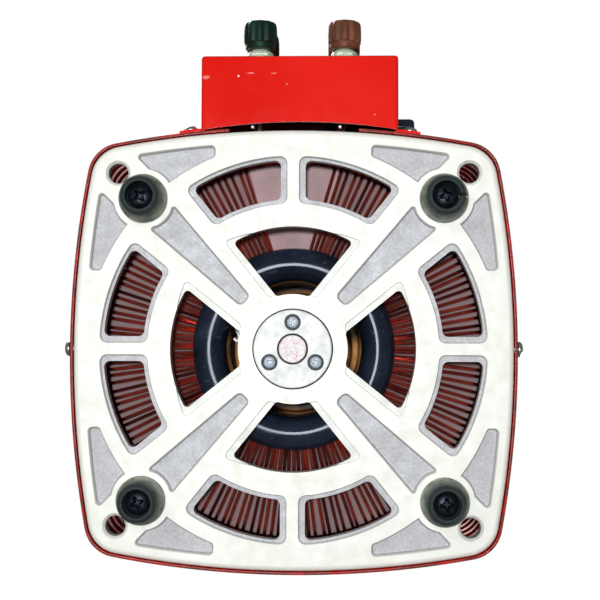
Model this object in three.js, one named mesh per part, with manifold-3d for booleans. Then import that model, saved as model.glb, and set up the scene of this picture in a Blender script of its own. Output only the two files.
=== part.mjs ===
// A bench variac: a variable autotransformer of about 1 kVA. A toroidal winding stands on a cast
// aluminium base with rubber feet, under a deep-drawn steel cover. The knob on top turns a shaft, whose arm
// sweeps a carbon brush over the winding. A sheet-steel terminal box on the front holds the binding posts,
// voltmeter and fuse. Millimetres, +Z up. Everything is laid out around the shaft's axis, with the front
// towards -Y. The group then moves along Y, so that the origin is under the middle of the object.
import * as THREE from "three";
import { mergeVertices } from "three/addons/utils/BufferGeometryUtils.js";
import Module from "manifold-3d";

const wasm = await Module();
wasm.setup();

// ---- Driving dimensions -------------------------------------------------------------------------
const GAP = 0.3; // between pieces that touch
const SIDE_RADIUS = 393; // the gently bulged sides of the base and cover
const BASE = { half: 88.7, corner: 13.6, bottom: 12, thick: 6, pocket: 2.4 };
const BASE_TOP = BASE.bottom + BASE.thick;
const COVER = { half: 90.2, corner: 14, wall: 1.1, bottom: 12.4, top: 115.2, edge: 8 };
const FOOT = { offset: 60.7, rTop: 9.8, rTip: 7.4, rRecess: 5.5, recess: 4.6, slit: 1.4, rBoss: 8, boss: 5 };
const FOOT_SCREW = { rHead: 4.6, head: 2.4, rShank: 2.4, length: 19 };
const FIXING_HOLE = { offset: 71.1, r: 4.1 };
// The base's web: windows between four straight spokes and four flared diagonal ones.
const SPOKE_HALF = 5;
// Half widths at the axis, beside the outer and the inner windows, and their growth per millimetre outwards.
const WEB = { half: 9, innerHalf: 8.1, flare: 0.108 };
const OUTER_WINDOW = { rIn: 60.6, rOut: 76.8, corner: 2.4 };
const INNER_WINDOW = { rIn: 22.1, rOut: 49.5, corner: 2 };
const RING_R = 84; // where the side pockets stop
const BOSS_R = 12.2; // where the pockets stop round each foot
const FLANGE = { r: 15.7, proud: 2.2, seat: 2.4, spigot: 11, rSleeve: 7.6, screwPcr: 10.7, rCounterbore: 3.3 };
const SHAFT_R = 5.7;
const HUB = { r: 19.5, top: 26 };
// The coil
const CORE = { rIn: 34, rOut: 75.4, bottom: 27.6, height: 50 };
const PAPER = 1.6; // insulation over the core
const WIRE = 1.4;
// The winding leaves an angle bare at the front: its middle, and half its width, in degrees.
const WINDING_GAP = { middle: -91.3, half: 13.3 };
const COIL_SIDES = 32; // facets round each ring of the coil
const COIL_IN = CORE.rIn - PAPER - 2 * GAP - WIRE;
const COIL_OUT = CORE.rOut + PAPER + 2 * GAP + WIRE;
const COIL_BOTTOM = CORE.bottom - PAPER - 2 * GAP - WIRE;
const COIL_TOP = CORE.bottom + CORE.height + PAPER + 2 * GAP + WIRE;
const CUP = { rOut: 41.6, rBore: 28, rSpigot: COIL_IN - GAP - 0.2, reach: 22, lip: 5 };
const CLAMP = { rOut: 40, rTop: 30, rBore: 24.8, rSpigot: 27.6, spigotBottom: 60, plate: 6 };
const CLAMP_TOP = COIL_TOP + GAP + CLAMP.plate;
const UPPER_BEARING_R = 9;
const TIE = { pcr: 17, r: 2.4, rNut: 4.4, nut: 3.6, startAngle: 30 };
// The rotor
const REST_ANGLE = -110; // where the brush and the pointer stand at 0 V, in degrees
const ARM = { bottom: CLAMP_TOP + TIE.nut + 2.4, thick: 7, half: 7.5, tail: 22, reach: 72, rHub: 13 };
const ARM_TOP = ARM.bottom + ARM.thick;
const BRUSH = { r: 63, half: 4.2, depth: 2.2, height: 11 };
const HOLDER_WALL = 1.4;
const SPRING = { rIn: 0.9, rOut: 1.9 };
const SLIP_RING = { rOut: 17, thick: 2.2 };
const DIAL = { r: 54, thick: 1.2, bore: 8 };
const DIAL_TOP = COVER.top + GAP + DIAL.thick;
const KNOB = { rSkirt: 34, rGrip: 29, skirt: 6, height: 27, flutes: 14, flute: 1.5, clear: 1.2 };
const KNOB_BOTTOM = DIAL_TOP + KNOB.clear;
const STOP = { r: 22, pin: 1.5, height: 5, rIn: 15, rOut: 28, groove: 5.6, lugHalf: 15.2 };
// The terminal box, a little to the right of the shaft's axis
const BOX = { x: 2.5, width: 80.3, front: 119.4, back: 92.2, rBack: 243, bottom: 12.9, top: 110, wall: 1.2 };
const EAR = { reach: 9, height: 12, lower: 15, upper: 92 };
const NOTCH = { left: -26, right: 26.5, top: 62 }; // where leads pass from the cover into the box
const POST = { x: 3.3, half: 17.6, lower: 27, upper: 47, rFlange: 7.4, flange: 2.2, rStud: 2, rNut: 4 };
const STUD_INSIDE = 13; // how far each post's stud reaches into the box
const CAP = { r: 7.1, grip: 9.5, rCollar: 6.2, collar: 5, flutes: 8, flute: 0.6, thread: 4.6 };
const METER = { x: 2.5, z: 84, width: 64, height: 44, proud: 6.5, rim: 3, body: 46, bodyHeight: 32, depth: 9.5 };
const PIVOT_DROP = 9; // of the needle's pivot below the meter's middle
const NEEDLE = { length: 24, half: 0.45, thick: 0.5, rHub: 2.6, restAngle: 42 };
const FUSE = { y: -99.5, z: 80, rCap: 7.3, cap: 10.6, rBody: 6.2, body: 30, rBore: 4.6, rLink: 2.5, link: 20 };
const LEAD_R = 1.3;

const FRONT_TIP = BOX.front + GAP + POST.flange + GAP + CAP.collar + CAP.grip;
const AXIS_Y = (FRONT_TIP - COVER.half) / 2; // brings the middle of the whole depth to the origin

// ---- Materials ----------------------------------------------------------------------------------
const finish = (color, roughness, metalness) =>
  new THREE.MeshStandardMaterial({ color, roughness, metalness });
const CAST = finish(0xe6e6dc, 0.5, 0.6);
const RED = finish(0xc41e12, 0.4, 0);
const RUBBER = finish(0x202625, 0.8, 0);
const BLACK = finish(0x14171b, 0.35, 0);
const STEEL = finish(0xb4b8bc, 0.35, 1);
const DARK_STEEL = finish(0x1b1b24, 0.4, 0.8);
const BRASS = finish(0xc9a050, 0.35, 1);
const PAPER_FINISH = finish(0x957b80, 0.9, 0);
const ENAMEL = finish(0x6e1d14, 0.35, 0.3);
const PHENOLIC = finish(0xa0622c, 0.5, 0);
const GRAPHITE = finish(0x2a2a2c, 0.7, 0.1);
const WHITE = finish(0xf2f2ee, 0.5, 0);
const GLASS = finish(0xe8f0f2, 0.05, 0);
const GREEN_POST = finish(0x0d3322, 0.4, 0);
const BROWN_POST = finish(0x5c2f1c, 0.4, 0);

// ---- Solids -------------------------------------------------------------------------------------
const radians = THREE.MathUtils.degToRad;

// A closed geometry as a manifold-3d solid.
function solid(geometry) {
  const bare = geometry.index ? geometry.toNonIndexed() : geometry.clone();
  bare.deleteAttribute("normal");
  bare.deleteAttribute("uv");
  const merged = mergeVertices(bare, 1e-4);
  const vertProperties = merged.attributes.position.array;
  const triVerts = new Uint32Array(merged.index.array);
  return new wasm.Manifold(new wasm.Mesh({ numProp: 3, vertProperties, triVerts }));
}

// A solid's mesh as a geometry.
function geometryOf(made) {
  const mesh = made.getMesh();
  const geometry = new THREE.BufferGeometry();
  const positions = new Float32Array(mesh.numVert * 3);
  for (let i = 0; i < mesh.numVert; i++) {
    positions.set(mesh.vertProperties.subarray(i * mesh.numProp, i * mesh.numProp + 3), i * 3);
  }
  geometry.setAttribute("position", new THREE.BufferAttribute(positions, 3));
  geometry.setIndex(new THREE.BufferAttribute(mesh.triVerts, 1));
  return geometry;
}

// The first geometry, joined with those in joins and cut by those in cuts.
function shaped(first, joins, cuts = []) {
  let made = solid(first);
  for (const g of joins) made = made.add(solid(g));
  for (const g of cuts) made = made.subtract(solid(g));
  return geometryOf(made);
}

const box = (x0, x1, y0, y1, z0, z1) =>
  new THREE.BoxGeometry(x1 - x0, y1 - y0, z1 - z0).translate((x0 + x1) / 2, (y0 + y1) / 2, (z0 + z1) / 2);

// An upright cylinder, or a cone's frustum where rTop is given.
const rod = (r, z0, z1, sides = 20, rTop = r) =>
  new THREE.CylinderGeometry(rTop, r, z1 - z0, sides).rotateX(Math.PI / 2).translate(0, 0, (z0 + z1) / 2);

// The same along Y, from y0 to y1, and along X.
const rodY = (r, y0, y1, sides = 20) =>
  new THREE.CylinderGeometry(r, r, y1 - y0, sides).translate(0, (y0 + y1) / 2, 0);
const rodX = (r, x0, x1, sides = 20) =>
  new THREE.CylinderGeometry(r, r, x1 - x0, sides).rotateZ(Math.PI / 2).translate((x0 + x1) / 2, 0, 0);

// A profile of [radius, height] points, counter-clockwise, turned about Z.
const turned = (profile, sides = 48) =>
  new THREE.LatheGeometry(profile.map(([r, z]) => new THREE.Vector2(r, z)), sides).rotateX(Math.PI / 2);

// A plain ring, square in section.
const sleeve = (rIn, rOut, z0, z1, sides) =>
  turned([[rIn, z0], [rOut, z0], [rOut, z1], [rIn, z1], [rIn, z0]], sides);

// A flat outline, extruded from z0 to z1.
const plate = (shape, z0, z1, curveSegments = 4) =>
  new THREE.ExtrudeGeometry(shape, { depth: z1 - z0, bevelEnabled: false, curveSegments }).translate(0, 0, z0);

// ---- Outlines -----------------------------------------------------------------------------------
// A square with bulged sides and round corners.
function bulgedSquare({ half, corner }, sideRadius = SIDE_RADIUS) {
  const inward = sideRadius - half; // from the middle to the centre of the opposite side's arc
  const c = (-inward + Math.sqrt(2 * (sideRadius - corner) ** 2 - inward ** 2)) / 2; // corner arc's centre
  const turn = Math.atan2(c, c + inward);
  const shape = new THREE.Shape();
  for (let quarter = 0; quarter < 4; quarter++) {
    const a = (quarter * Math.PI) / 2;
    const spin = (x, y) => [x * Math.cos(a) - y * Math.sin(a), x * Math.sin(a) + y * Math.cos(a)];
    shape.absarc(...spin(-inward, 0), sideRadius, a - turn, a + turn, false);
    shape.absarc(...spin(c, c), corner, a + turn, a + Math.PI / 2 - turn, false);
  }
  return shape;
}

// An outline through points [x, y, r]: a corner with r is rounded off by about r.
function rounded(points) {
  const shape = new THREE.Shape();
  points.forEach(([x, y, r = 0], i) => {
    const here = new THREE.Vector2(x, y);
    const towards = ([px, py]) => new THREE.Vector2(px - x, py - y).setLength(r).add(here);
    const before = towards(points[(i + points.length - 1) % points.length]);
    const after = towards(points[(i + 1) % points.length]);
    if (i === 0) shape.moveTo(before.x, before.y);
    else shape.lineTo(before.x, before.y);
    if (r) shape.quadraticCurveTo(x, y, after.x, after.y);
  });
  return shape;
}

// Points along an arc about (cx, cy), both ends included; the corner radii are those of the two ends.
function arcPoints(cx, cy, r, from, to, steps, startCorner = 0, endCorner = 0) {
  return Array.from({ length: steps + 1 }, (_, i) => {
    const a = from + ((to - from) * i) / steps;
    const corner = i === 0 ? startCorner : i === steps ? endCorner : 0;
    return [cx + r * Math.cos(a), cy + r * Math.sin(a), corner];
  });
}

// The polar angle, from a diagonal spoke's middle line, at which the spoke's edge meets radius r.
function webEdgeAngle(r, half) {
  return Math.atan(WEB.flare) + Math.asin(half / (r * Math.hypot(1, WEB.flare)));
}

// A window of the outer ring, right of the +Y spoke.
function outerWindow() {
  const { rIn, rOut, corner } = OUTER_WINDOW;
  const spoke = (r) => Math.acos(SPOKE_HALF / r);
  const web = (r) => Math.PI / 4 + webEdgeAngle(r, WEB.half);
  return [
    ...arcPoints(0, 0, rOut, web(rOut), spoke(rOut), 4, corner, corner),
    ...arcPoints(0, 0, rIn, spoke(rIn), web(rIn), 3, corner, corner),
  ];
}

// The window between the two diagonal spokes about +Y.
function innerWindow() {
  const { rIn, rOut, corner } = INNER_WINDOW;
  const left = (r) => (3 * Math.PI) / 4 - webEdgeAngle(r, WEB.innerHalf);
  return [
    ...arcPoints(0, 0, rOut, left(rOut), Math.PI - left(rOut), 6, corner, corner),
    ...arcPoints(0, 0, rIn, Math.PI - left(rIn), left(rIn), 2, 1.2, 1.2),
  ];
}

// The pocket between the rim, the ring and a foot's boss, right of the +Y spoke.
function sidePocket() {
  const margin = 4.8;
  const start = 31.6;
  const rim = (x) => BASE.half - margin - x ** 2 / (2 * SIDE_RADIUS);
  const web = 14.1; // how far the web's edge is above the diagonal
  const corner = { x: 64.5, r: 2 };
  const bossTop = { x: FOOT.offset - 2, y: FOOT.offset - 2 + web };
  const ringEnd = 0.93; // the polar angle where the ring's arc meets the boss
  const ringStart = Math.acos(start / RING_R);
  const meet = { x: RING_R * Math.cos(ringEnd) - FOOT.offset, y: RING_R * Math.sin(ringEnd) - FOOT.offset };
  const bossStart = Math.atan2(meet.y, meet.x);
  const bossEnd = Math.atan2(bossTop.y - FOOT.offset, bossTop.x - FOOT.offset);
  return [
    [start, RING_R * Math.sin(ringStart), 1.9],
    [start, rim(start), 1.9],
    [(start + corner.x) / 2, rim((start + corner.x) / 2)],
    [corner.x, rim(corner.x), corner.r],
    ...arcPoints(FOOT.offset, FOOT.offset, BOSS_R, bossEnd, bossStart, 2, 1, 1),
    ...arcPoints(0, 0, RING_R, ringEnd + 0.05, ringStart - 0.04, 2),
  ];
}

// The wedge-shaped pocket in a diagonal spoke, laid along +X.
function spokePocket() {
  const foot = FOOT.offset * Math.SQRT2;
  const [inner, innerHalf, outerHalf] = [27, 3, 6.9];
  const open = Math.asin(outerHalf / BOSS_R);
  return [
    [inner, -innerHalf, 2.3],
    ...arcPoints(foot, 0, BOSS_R, Math.PI + open, Math.PI - open, 4, 1.4, 1.4),
    [inner, innerHalf, 2.3],
  ];
}

const spun = (geometry, degrees) => geometry.clone().rotateZ(radians(degrees));
const quarters = (geometry) => [0, 90, 180, 270].map((a) => spun(geometry, a));
const mirrored = (points) => points.map(([x, y, r]) => [-x, y, r]).reverse();

// A scalloped round outline.
function fluted(r, flutes, depth, stepsPerFlute = 3) {
  const shape = new THREE.Shape();
  for (let i = 0; i < flutes * stepsPerFlute; i++) {
    const a = (i * 2 * Math.PI) / (flutes * stepsPerFlute);
    const here = r - depth * Math.abs(Math.cos((a * flutes) / 2)) ** 3;
    if (i === 0) shape.moveTo(here, 0);
    else shape.lineTo(here * Math.cos(a), here * Math.sin(a));
  }
  return shape;
}

// A tube round points, with a step at every one of steps.
function tube(points, r, steps, sides = 3) {
  const path = new THREE.CatmullRomCurve3(points.map((p) => new THREE.Vector3(...p)), false, "centripetal");
  const section = new THREE.Shape();
  section.absarc(0, 0, r, 0, 2 * Math.PI, false);
  const options = { steps, extrudePath: path, curveSegments: sides, bevelEnabled: false };
  return new THREE.ExtrudeGeometry(section, options);
}

// ---- Base and feet ------------------------------------------------------------------------------
const corners = [
  ["front_left", -1, -1],
  ["front_right", 1, -1],
  ["rear_left", -1, 1],
  ["rear_right", 1, 1],
];

function base() {
  const z = BASE.bottom;
  const below = z - 1;
  const both = (points) => [rounded(points), rounded(mirrored(points))];
  const recess = (shape) => plate(shape, below, z + BASE.pocket, 2);
  const through = (shape) => plate(shape, below, BASE_TOP + 1, 2);
  const diagonal = recess(rounded(spokePocket())).rotateZ(Math.PI / 4);
  const joins = [rod(HUB.r, BASE_TOP - 1, HUB.top, 24)];
  const cuts = [
    ...both(outerWindow()).flatMap((s) => quarters(through(s))),
    ...quarters(through(rounded(innerWindow()))),
    ...both(sidePocket()).flatMap((s) => quarters(recess(s))),
    ...quarters(diagonal),
    rod(FLANGE.r + GAP, below, z + FLANGE.seat, 24),
    rod(FLANGE.spigot + GAP, below, HUB.top + 1, 24),
  ];
  for (const [x, y] of flangeSpots) {
    cuts.push(rod(FLANGE_SCREW.rShank + GAP, z, BASE_TOP, 8).translate(x, y, 0));
  }
  for (const [, sx, sy] of corners) {
    const [x, y] = [sx * FOOT.offset, sy * FOOT.offset];
    joins.push(rod(FOOT.rBoss, BASE_TOP - 1, BASE_TOP + FOOT.boss, 12).translate(x, y, 0));
    cuts.push(rod(FOOT_SCREW.rShank + GAP, below, BASE_TOP + FOOT.boss + 1, 8).translate(x, y, 0));
    const hole = rod(FIXING_HOLE.r, below, BASE_TOP + 1, 12);
    cuts.push(hole.translate(sx * FIXING_HOLE.offset, sy * FIXING_HOLE.offset, 0));
  }
  for (const x of [-BASE.half, BASE.half]) {
    const hole = rodX(SCREW.rShank + GAP, x - SCREW.length - 2, x + SCREW.length + 2, 10);
    cuts.push(hole.translate(0, 0, COVER_SCREW_Z));
  }
  return shaped(plate(bulgedSquare(BASE), z, BASE_TOP, 3), joins, cuts);
}

// A tapered rubber foot with a recess for its screw; the front right one is slit through on its outer side.
function foot(slit) {
  const top = BASE.bottom - GAP;
  const cone = turned([
    [0, FOOT.recess], [FOOT.rRecess, FOOT.recess], [FOOT.rRecess, 0], [FOOT.rTip - 0.5, 0], [FOOT.rTip, 0.6],
    [FOOT.rTop, top - 3], [FOOT.rTop, top], [0, top],
  ], 16);
  const cuts = [rod(FOOT_SCREW.rShank + GAP, -1, top + 1, 8)];
  if (slit) cuts.push(box(FOOT.rRecess - 1, FOOT.rTop + 1, -FOOT.slit / 2, FOOT.slit / 2, -1, 7));
  return shaped(cone, [], cuts);
}

// A pan-head screw, its head down, from z = 0 at the underside of its head.
const SCREW = { rHead: 3.1, head: 1.9, rShank: 1.5, length: 6 };
const COVER_SCREW_Z = 15.2;
function screw({ rHead, head, rShank, length }, sides = 10) {
  return turned([
    [0, -head], [rHead * 0.7, -head], [rHead, -head * 0.4], [rHead, 0],
    [rShank, 0], [rShank, length], [0, length],
  ], sides);
}

// ---- Bearing ------------------------------------------------------------------------------------
const flangeBottom = BASE.bottom - FLANGE.proud;
const flangeSpots = [-90, 30, 150].map((a) => [
  FLANGE.screwPcr * Math.cos(radians(a)),
  FLANGE.screwPcr * Math.sin(radians(a)),
]);
const FLANGE_SCREW = { rHead: 2.6, head: 1.6, rShank: 1.3, length: 5 };
const FLANGE_SEAT = 2; // depth of each screw's counterbore
const FLANGE_TOP = BASE.bottom + FLANGE.seat - GAP;
function bearingFlange() {
  const cuts = [rod(SHAFT_R + GAP / 2, flangeBottom - 1, HUB.top, 24)];
  for (const [x, y] of flangeSpots) {
    cuts.push(rod(FLANGE.rCounterbore, flangeBottom - 1, flangeBottom + FLANGE_SEAT, 8).translate(x, y, 0));
    cuts.push(rod(FLANGE_SCREW.rShank + GAP, flangeBottom - 1, FLANGE_TOP + 1, 8).translate(x, y, 0));
  }
  const sleeve = rod(FLANGE.rSleeve, FLANGE_TOP - 1, HUB.top - 1, 16);
  return shaped(rod(FLANGE.r, flangeBottom, FLANGE_TOP, 24), [sleeve], cuts);
}

// ---- Coil ---------------------------------------------------------------------------------------
function core() {
  return sleeve(CORE.rIn, CORE.rOut, CORE.bottom, CORE.bottom + CORE.height, COIL_SIDES);
}

// One of the two channel-shaped halves of the core's insulation; side is -1 for the lower.
function insulation(side) {
  const middle = CORE.bottom + CORE.height / 2;
  const at = (h) => middle + side * h;
  const [near, far] = [CORE.height / 2 + GAP, CORE.height / 2 + GAP + PAPER];
  const [inA, inB] = [CORE.rIn - GAP - PAPER, CORE.rIn - GAP];
  const [outA, outB] = [CORE.rOut + GAP, CORE.rOut + GAP + PAPER];
  const profile = [
    [inA, at(far)], [outB, at(far)], [outB, at(GAP)], [outA, at(GAP)], [outA, at(near)], [inB, at(near)],
    [inB, at(GAP)], [inA, at(GAP)], [inA, at(far)],
  ];
  return turned(side < 0 ? profile : profile.reverse(), COIL_SIDES);
}

// The winding as one sleeve round the insulated core, open at both ends of its turn.
function winding() {
  const skin = WIRE - 0.1;
  const [a, b, c, d] = [COIL_IN, COIL_OUT, COIL_BOTTOM, COIL_TOP];
  const bevel = 2.5;
  const outer = [
    [a + bevel, c], [b - bevel, c], [b, c + bevel], [b, d - bevel],
    [b - bevel, d], [a + bevel, d], [a, d - bevel], [a, c + bevel],
  ];
  const inner = [[a + skin, c + skin], [b - skin, c + skin], [b - skin, d - skin], [a + skin, d - skin]];
  const ring = (profile) => turned([...profile, profile[0]], COIL_SIDES);
  const reach = 2 * b;
  const open = Math.tan(radians(WINDING_GAP.half)) * reach;
  const gap = spun(plate(rounded([[0, 0], [reach, -open], [reach, open]]), c - 1, d + 1), WINDING_GAP.middle);
  // The sleeve's corners are square inside and bevelled outside, so its corners stay clear of the insulation.
  return shaped(ring(outer), [], [ring(inner), gap]);
}

// The black moulded cup under the coil: a bell mouth whose spigot reaches up into the bore.
function lowerCup() {
  const { rOut, rBore, rSpigot, reach, lip } = CUP;
  const seat = COIL_BOTTOM - GAP;
  const low = seat - lip;
  const top = seat + reach;
  return turned([
    [rBore, top], [rBore, seat + 5], [rBore + 2.2, seat], [rBore + 6, low + 0.7], [rOut - 3.4, low],
    [rOut, low + 2.6], [rOut, seat], [rSpigot, seat], [rSpigot, top], [rBore, top],
  ], 24);
}

const tieSpots = [0, 120, 240].map((a) => [
  TIE.pcr * Math.cos(radians(a + TIE.startAngle)),
  TIE.pcr * Math.sin(radians(a + TIE.startAngle)),
]);

// The phenolic clamp on top of the coil: a flange, a spigot into the bore and a plate across it.
function upperClamp() {
  const seat = COIL_TOP + GAP;
  const profile = [
    [CLAMP.rBore, CLAMP.spigotBottom], [CLAMP.rSpigot, CLAMP.spigotBottom], [CLAMP.rSpigot, seat],
    [CLAMP.rOut, seat], [CLAMP.rOut, seat + 3], [CLAMP.rOut - 2, seat + 4.4], [CLAMP.rTop, CLAMP_TOP],
    [0, CLAMP_TOP], [0, CLAMP_TOP - CLAMP.plate], [CLAMP.rBore, CLAMP_TOP - CLAMP.plate],
    [CLAMP.rBore, CLAMP.spigotBottom],
  ];
  const cuts = [rod(UPPER_BEARING_R + GAP, seat - 5, CLAMP_TOP + 1, 20)];
  for (const [x, y] of tieSpots) cuts.push(rod(TIE.r + GAP, seat - 5, CLAMP_TOP + 1, 12).translate(x, y, 0));
  return shaped(turned(profile, 24), [], cuts);
}

// A tie bolt from the base's hub up through the clamp, with its nut.
function tieBolt() {
  const nut = CLAMP_TOP + GAP;
  return shaped(rod(TIE.r, HUB.top + GAP, nut + TIE.nut + 1, 12), [rod(TIE.rNut, nut, nut + TIE.nut, 6)]);
}

function upperBearing() {
  const [low, high] = [CLAMP_TOP - CLAMP.plate, CLAMP_TOP + 2];
  return sleeve(SHAFT_R + GAP / 2, UPPER_BEARING_R, low, high, 20);
}

// ---- Rotor --------------------------------------------------------------------------------------
const SHAFT_TOP = KNOB_BOTTOM + KNOB.height - 4;
const rotorShaft = () => rod(SHAFT_R, flangeBottom - 0.4, SHAFT_TOP, 24);

// The arm carries the brush's square holder at its end and cooling fins on its back.
function brushArm() {
  const { bottom, half, tail, reach, rHub } = ARM;
  const holderBottom = COIL_TOP + GAP + 2;
  const [hx, hy] = [BRUSH.depth + HOLDER_WALL + GAP, BRUSH.half + HOLDER_WALL + GAP];
  const joins = [
    rod(rHub, bottom, ARM_TOP, 28),
    box(BRUSH.r - hx, BRUSH.r + hx, -hy, hy, holderBottom, ARM_TOP),
  ];
  for (let fin = 0; fin < 4; fin++) {
    joins.push(box(22 + fin * 8, 25 + fin * 8, -half - 5, half + 5, bottom + 0.5, ARM_TOP - 0.5));
  }
  const channel = { x: BRUSH.depth + GAP, y: BRUSH.half + GAP, top: ARM_TOP - HOLDER_WALL };
  const cuts = [
    rod(SHAFT_R + GAP / 2, bottom - 1, ARM_TOP + 1, 24),
    box(BRUSH.r - channel.x, BRUSH.r + channel.x, -channel.y, channel.y, 0, channel.top),
  ];
  return shaped(box(-tail, reach, -half, half, bottom, ARM_TOP), joins, cuts);
}

const BRUSH_BOTTOM = COIL_TOP + GAP;
const BRUSH_TOP = BRUSH_BOTTOM + BRUSH.height;
const carbonBrush = () =>
  box(BRUSH.r - BRUSH.depth, BRUSH.r + BRUSH.depth, -BRUSH.half, BRUSH.half, BRUSH_BOTTOM, BRUSH_TOP);

// The space that the brush's coil spring fills.
function brushSpring() {
  const [low, high] = [BRUSH_TOP + GAP, ARM_TOP - HOLDER_WALL - GAP];
  return sleeve(SPRING.rIn, SPRING.rOut, low, high, 12).translate(BRUSH.r, 0, 0);
}

function slipRing() {
  return sleeve(SHAFT_R + GAP, SLIP_RING.rOut, ARM_TOP + GAP, ARM_TOP + GAP + SLIP_RING.thick, 28);
}

// The leaf spring that takes the current from the slip ring, on its insulating block under the cover.
function pickup() {
  const ringTop = ARM_TOP + GAP + SLIP_RING.thick + GAP;
  const ceiling = COVER.top - COVER.wall - GAP;
  const leaf = box(-4, 4, -40, -10, ringTop + 0.1, ringTop + 0.9);
  return shaped(box(-9, 9, -44, -32, ringTop - 0.4, ceiling), [leaf]);
}

// The knob: a fluted grip over a round skirt. A groove underneath holds the lug that meets the stop pin.
function knob() {
  const { rSkirt, rGrip, skirt, height, flutes, flute } = KNOB;
  const z = KNOB_BOTTOM;
  const body = turned([
    [0, z], [rSkirt, z], [rSkirt, z + skirt * 0.5], [rSkirt - 2, z + skirt],
    [rGrip - 3, z + skirt + 1.5], [0, z + skirt + 1.5],
  ], 32);
  const grip = plate(fluted(rGrip, flutes, flute), z + skirt, z + height);
  const groove = sleeve(STOP.rIn, STOP.rOut, z - 1, z + STOP.groove, 28);
  const lug = new THREE.Shape();
  lug.absarc(0, 0, STOP.rOut + 1, -radians(STOP.lugHalf), radians(STOP.lugHalf), false);
  lug.absarc(0, 0, STOP.rIn - 1, radians(STOP.lugHalf), -radians(STOP.lugHalf), true);
  const bore = rod(SHAFT_R + GAP / 2, z - 1, SHAFT_TOP + GAP, 24);
  const hole = rodX(GRUB.r, SHAFT_R - 1, rGrip + 2, 8).translate(0, 0, GRUB_Z);
  const top = rod(KNOB_CAP.r + GAP, z + height - KNOB_CAP.sink, z + height + 1, 36);
  const open = geometryOf(solid(body).add(solid(grip)).subtract(solid(groove)));
  return shaped(open, [plate(lug, z, z + STOP.groove + 1, 6)], [bore, hole, top]);
}
const KNOB_CAP = { r: 19, thick: 1.6, sink: 1 };
const GRUB = { r: 2 }; // the hole for the screw that clamps the knob on its shaft
const GRUB_Z = KNOB_BOTTOM + 12;

function knobCap() {
  const low = KNOB_BOTTOM + KNOB.height - KNOB_CAP.sink + GAP;
  const { r, thick } = KNOB_CAP;
  return turned([[0, low], [r, low], [r, low + thick - 0.5], [r - 0.8, low + thick], [0, low + thick]], 28);
}

// ---- Cover --------------------------------------------------------------------------------------
const SLOT = { length: 34, height: 3.6, lowest: 54, pitch: 10, count: 5 };

function cover() {
  const { wall, bottom, top, edge } = COVER;
  const drawn = (inset, z1) => {
    const size = { half: COVER.half - inset, corner: COVER.corner - inset };
    const depth = z1 - edge - (bottom - 2);
    const bevel = { bevelThickness: edge, bevelSize: edge, bevelOffset: -edge, bevelSegments: 2 };
    const options = { depth, curveSegments: 3, bevelEnabled: true, ...bevel };
    const outline = bulgedSquare(size, SIDE_RADIUS - inset);
    return new THREE.ExtrudeGeometry(outline, options).translate(0, 0, bottom - 2);
  };
  const slotShape = new THREE.Shape();
  const [sx, sr] = [SLOT.length / 2 - SLOT.height / 2, SLOT.height / 2];
  slotShape.absarc(sx, 0, sr, -Math.PI / 2, Math.PI / 2, false);
  slotShape.absarc(-sx, 0, sr, Math.PI / 2, (3 * Math.PI) / 2, false);
  const cuts = [
    drawn(wall, top - wall),
    box(-120, 120, -120, 120, -20, bottom),
    box(NOTCH.left, NOTCH.right, -100, -70, 0, NOTCH.top),
    rod(SHAFT_R + 6, top - 10, top + 5, 24),
  ];
  for (let i = 0; i < SLOT.count; i++) {
    const slot = plate(slotShape, 60, 130, 1).rotateX(Math.PI / 2);
    slot.translate(0, 0, SLOT.lowest + i * SLOT.pitch);
    cuts.push(...[45, 135, 225, 315].map((a) => spun(slot, a)));
  }
  for (const [x, y, a, z] of coverScrewSpots) {
    cuts.push(rodY(SCREW.rShank + GAP, -4, 4, 10).rotateZ(a).translate(x, y, z));
  }
  return shaped(drawn(0, top), [], cuts);
}

// Where the front wall's outer face is, at a distance x from the middle.
const wallY = (x, out = 0) => -(Math.sqrt((SIDE_RADIUS + out) ** 2 - x ** 2) - (SIDE_RADIUS - COVER.half));
const earX = [BOX.x - BOX.width / 2 - EAR.reach / 2, BOX.x + BOX.width / 2 + EAR.reach / 2];
const earZ = [EAR.lower + EAR.height / 2, EAR.upper + EAR.height / 2];
// Each screw's place on the cover's outer face, and the turn that faces it outwards from -Y.
const coverScrewSpots = [
  [-COVER.half, 0, -Math.PI / 2, COVER_SCREW_Z],
  [COVER.half, 0, Math.PI / 2, COVER_SCREW_Z],
  ...earZ.flatMap((z) => earX.map((x) => [x, wallY(x), Math.asin(x / SIDE_RADIUS), z])),
];

function dialPlate() {
  const [low, high] = [COVER.top + GAP, DIAL_TOP];
  const pin = rod(STOP.pin + GAP, low - 1, high + 1, 10).translate(0, -STOP.r, 0);
  return shaped(rod(DIAL.r, low, high, 40), [], [rod(DIAL.bore, low - 1, high + 1, 20), pin]);
}

// The pin stands in its hole in the dial plate, on the cover.
function stopPin() {
  return rod(STOP.pin, COVER.top + GAP, KNOB_BOTTOM + STOP.height - 0.4, 12).translate(0, -STOP.r, 0);
}

// ---- Terminal box -------------------------------------------------------------------------------
const boxLeft = BOX.x - BOX.width / 2;
const boxRight = BOX.x + BOX.width / 2;

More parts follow.
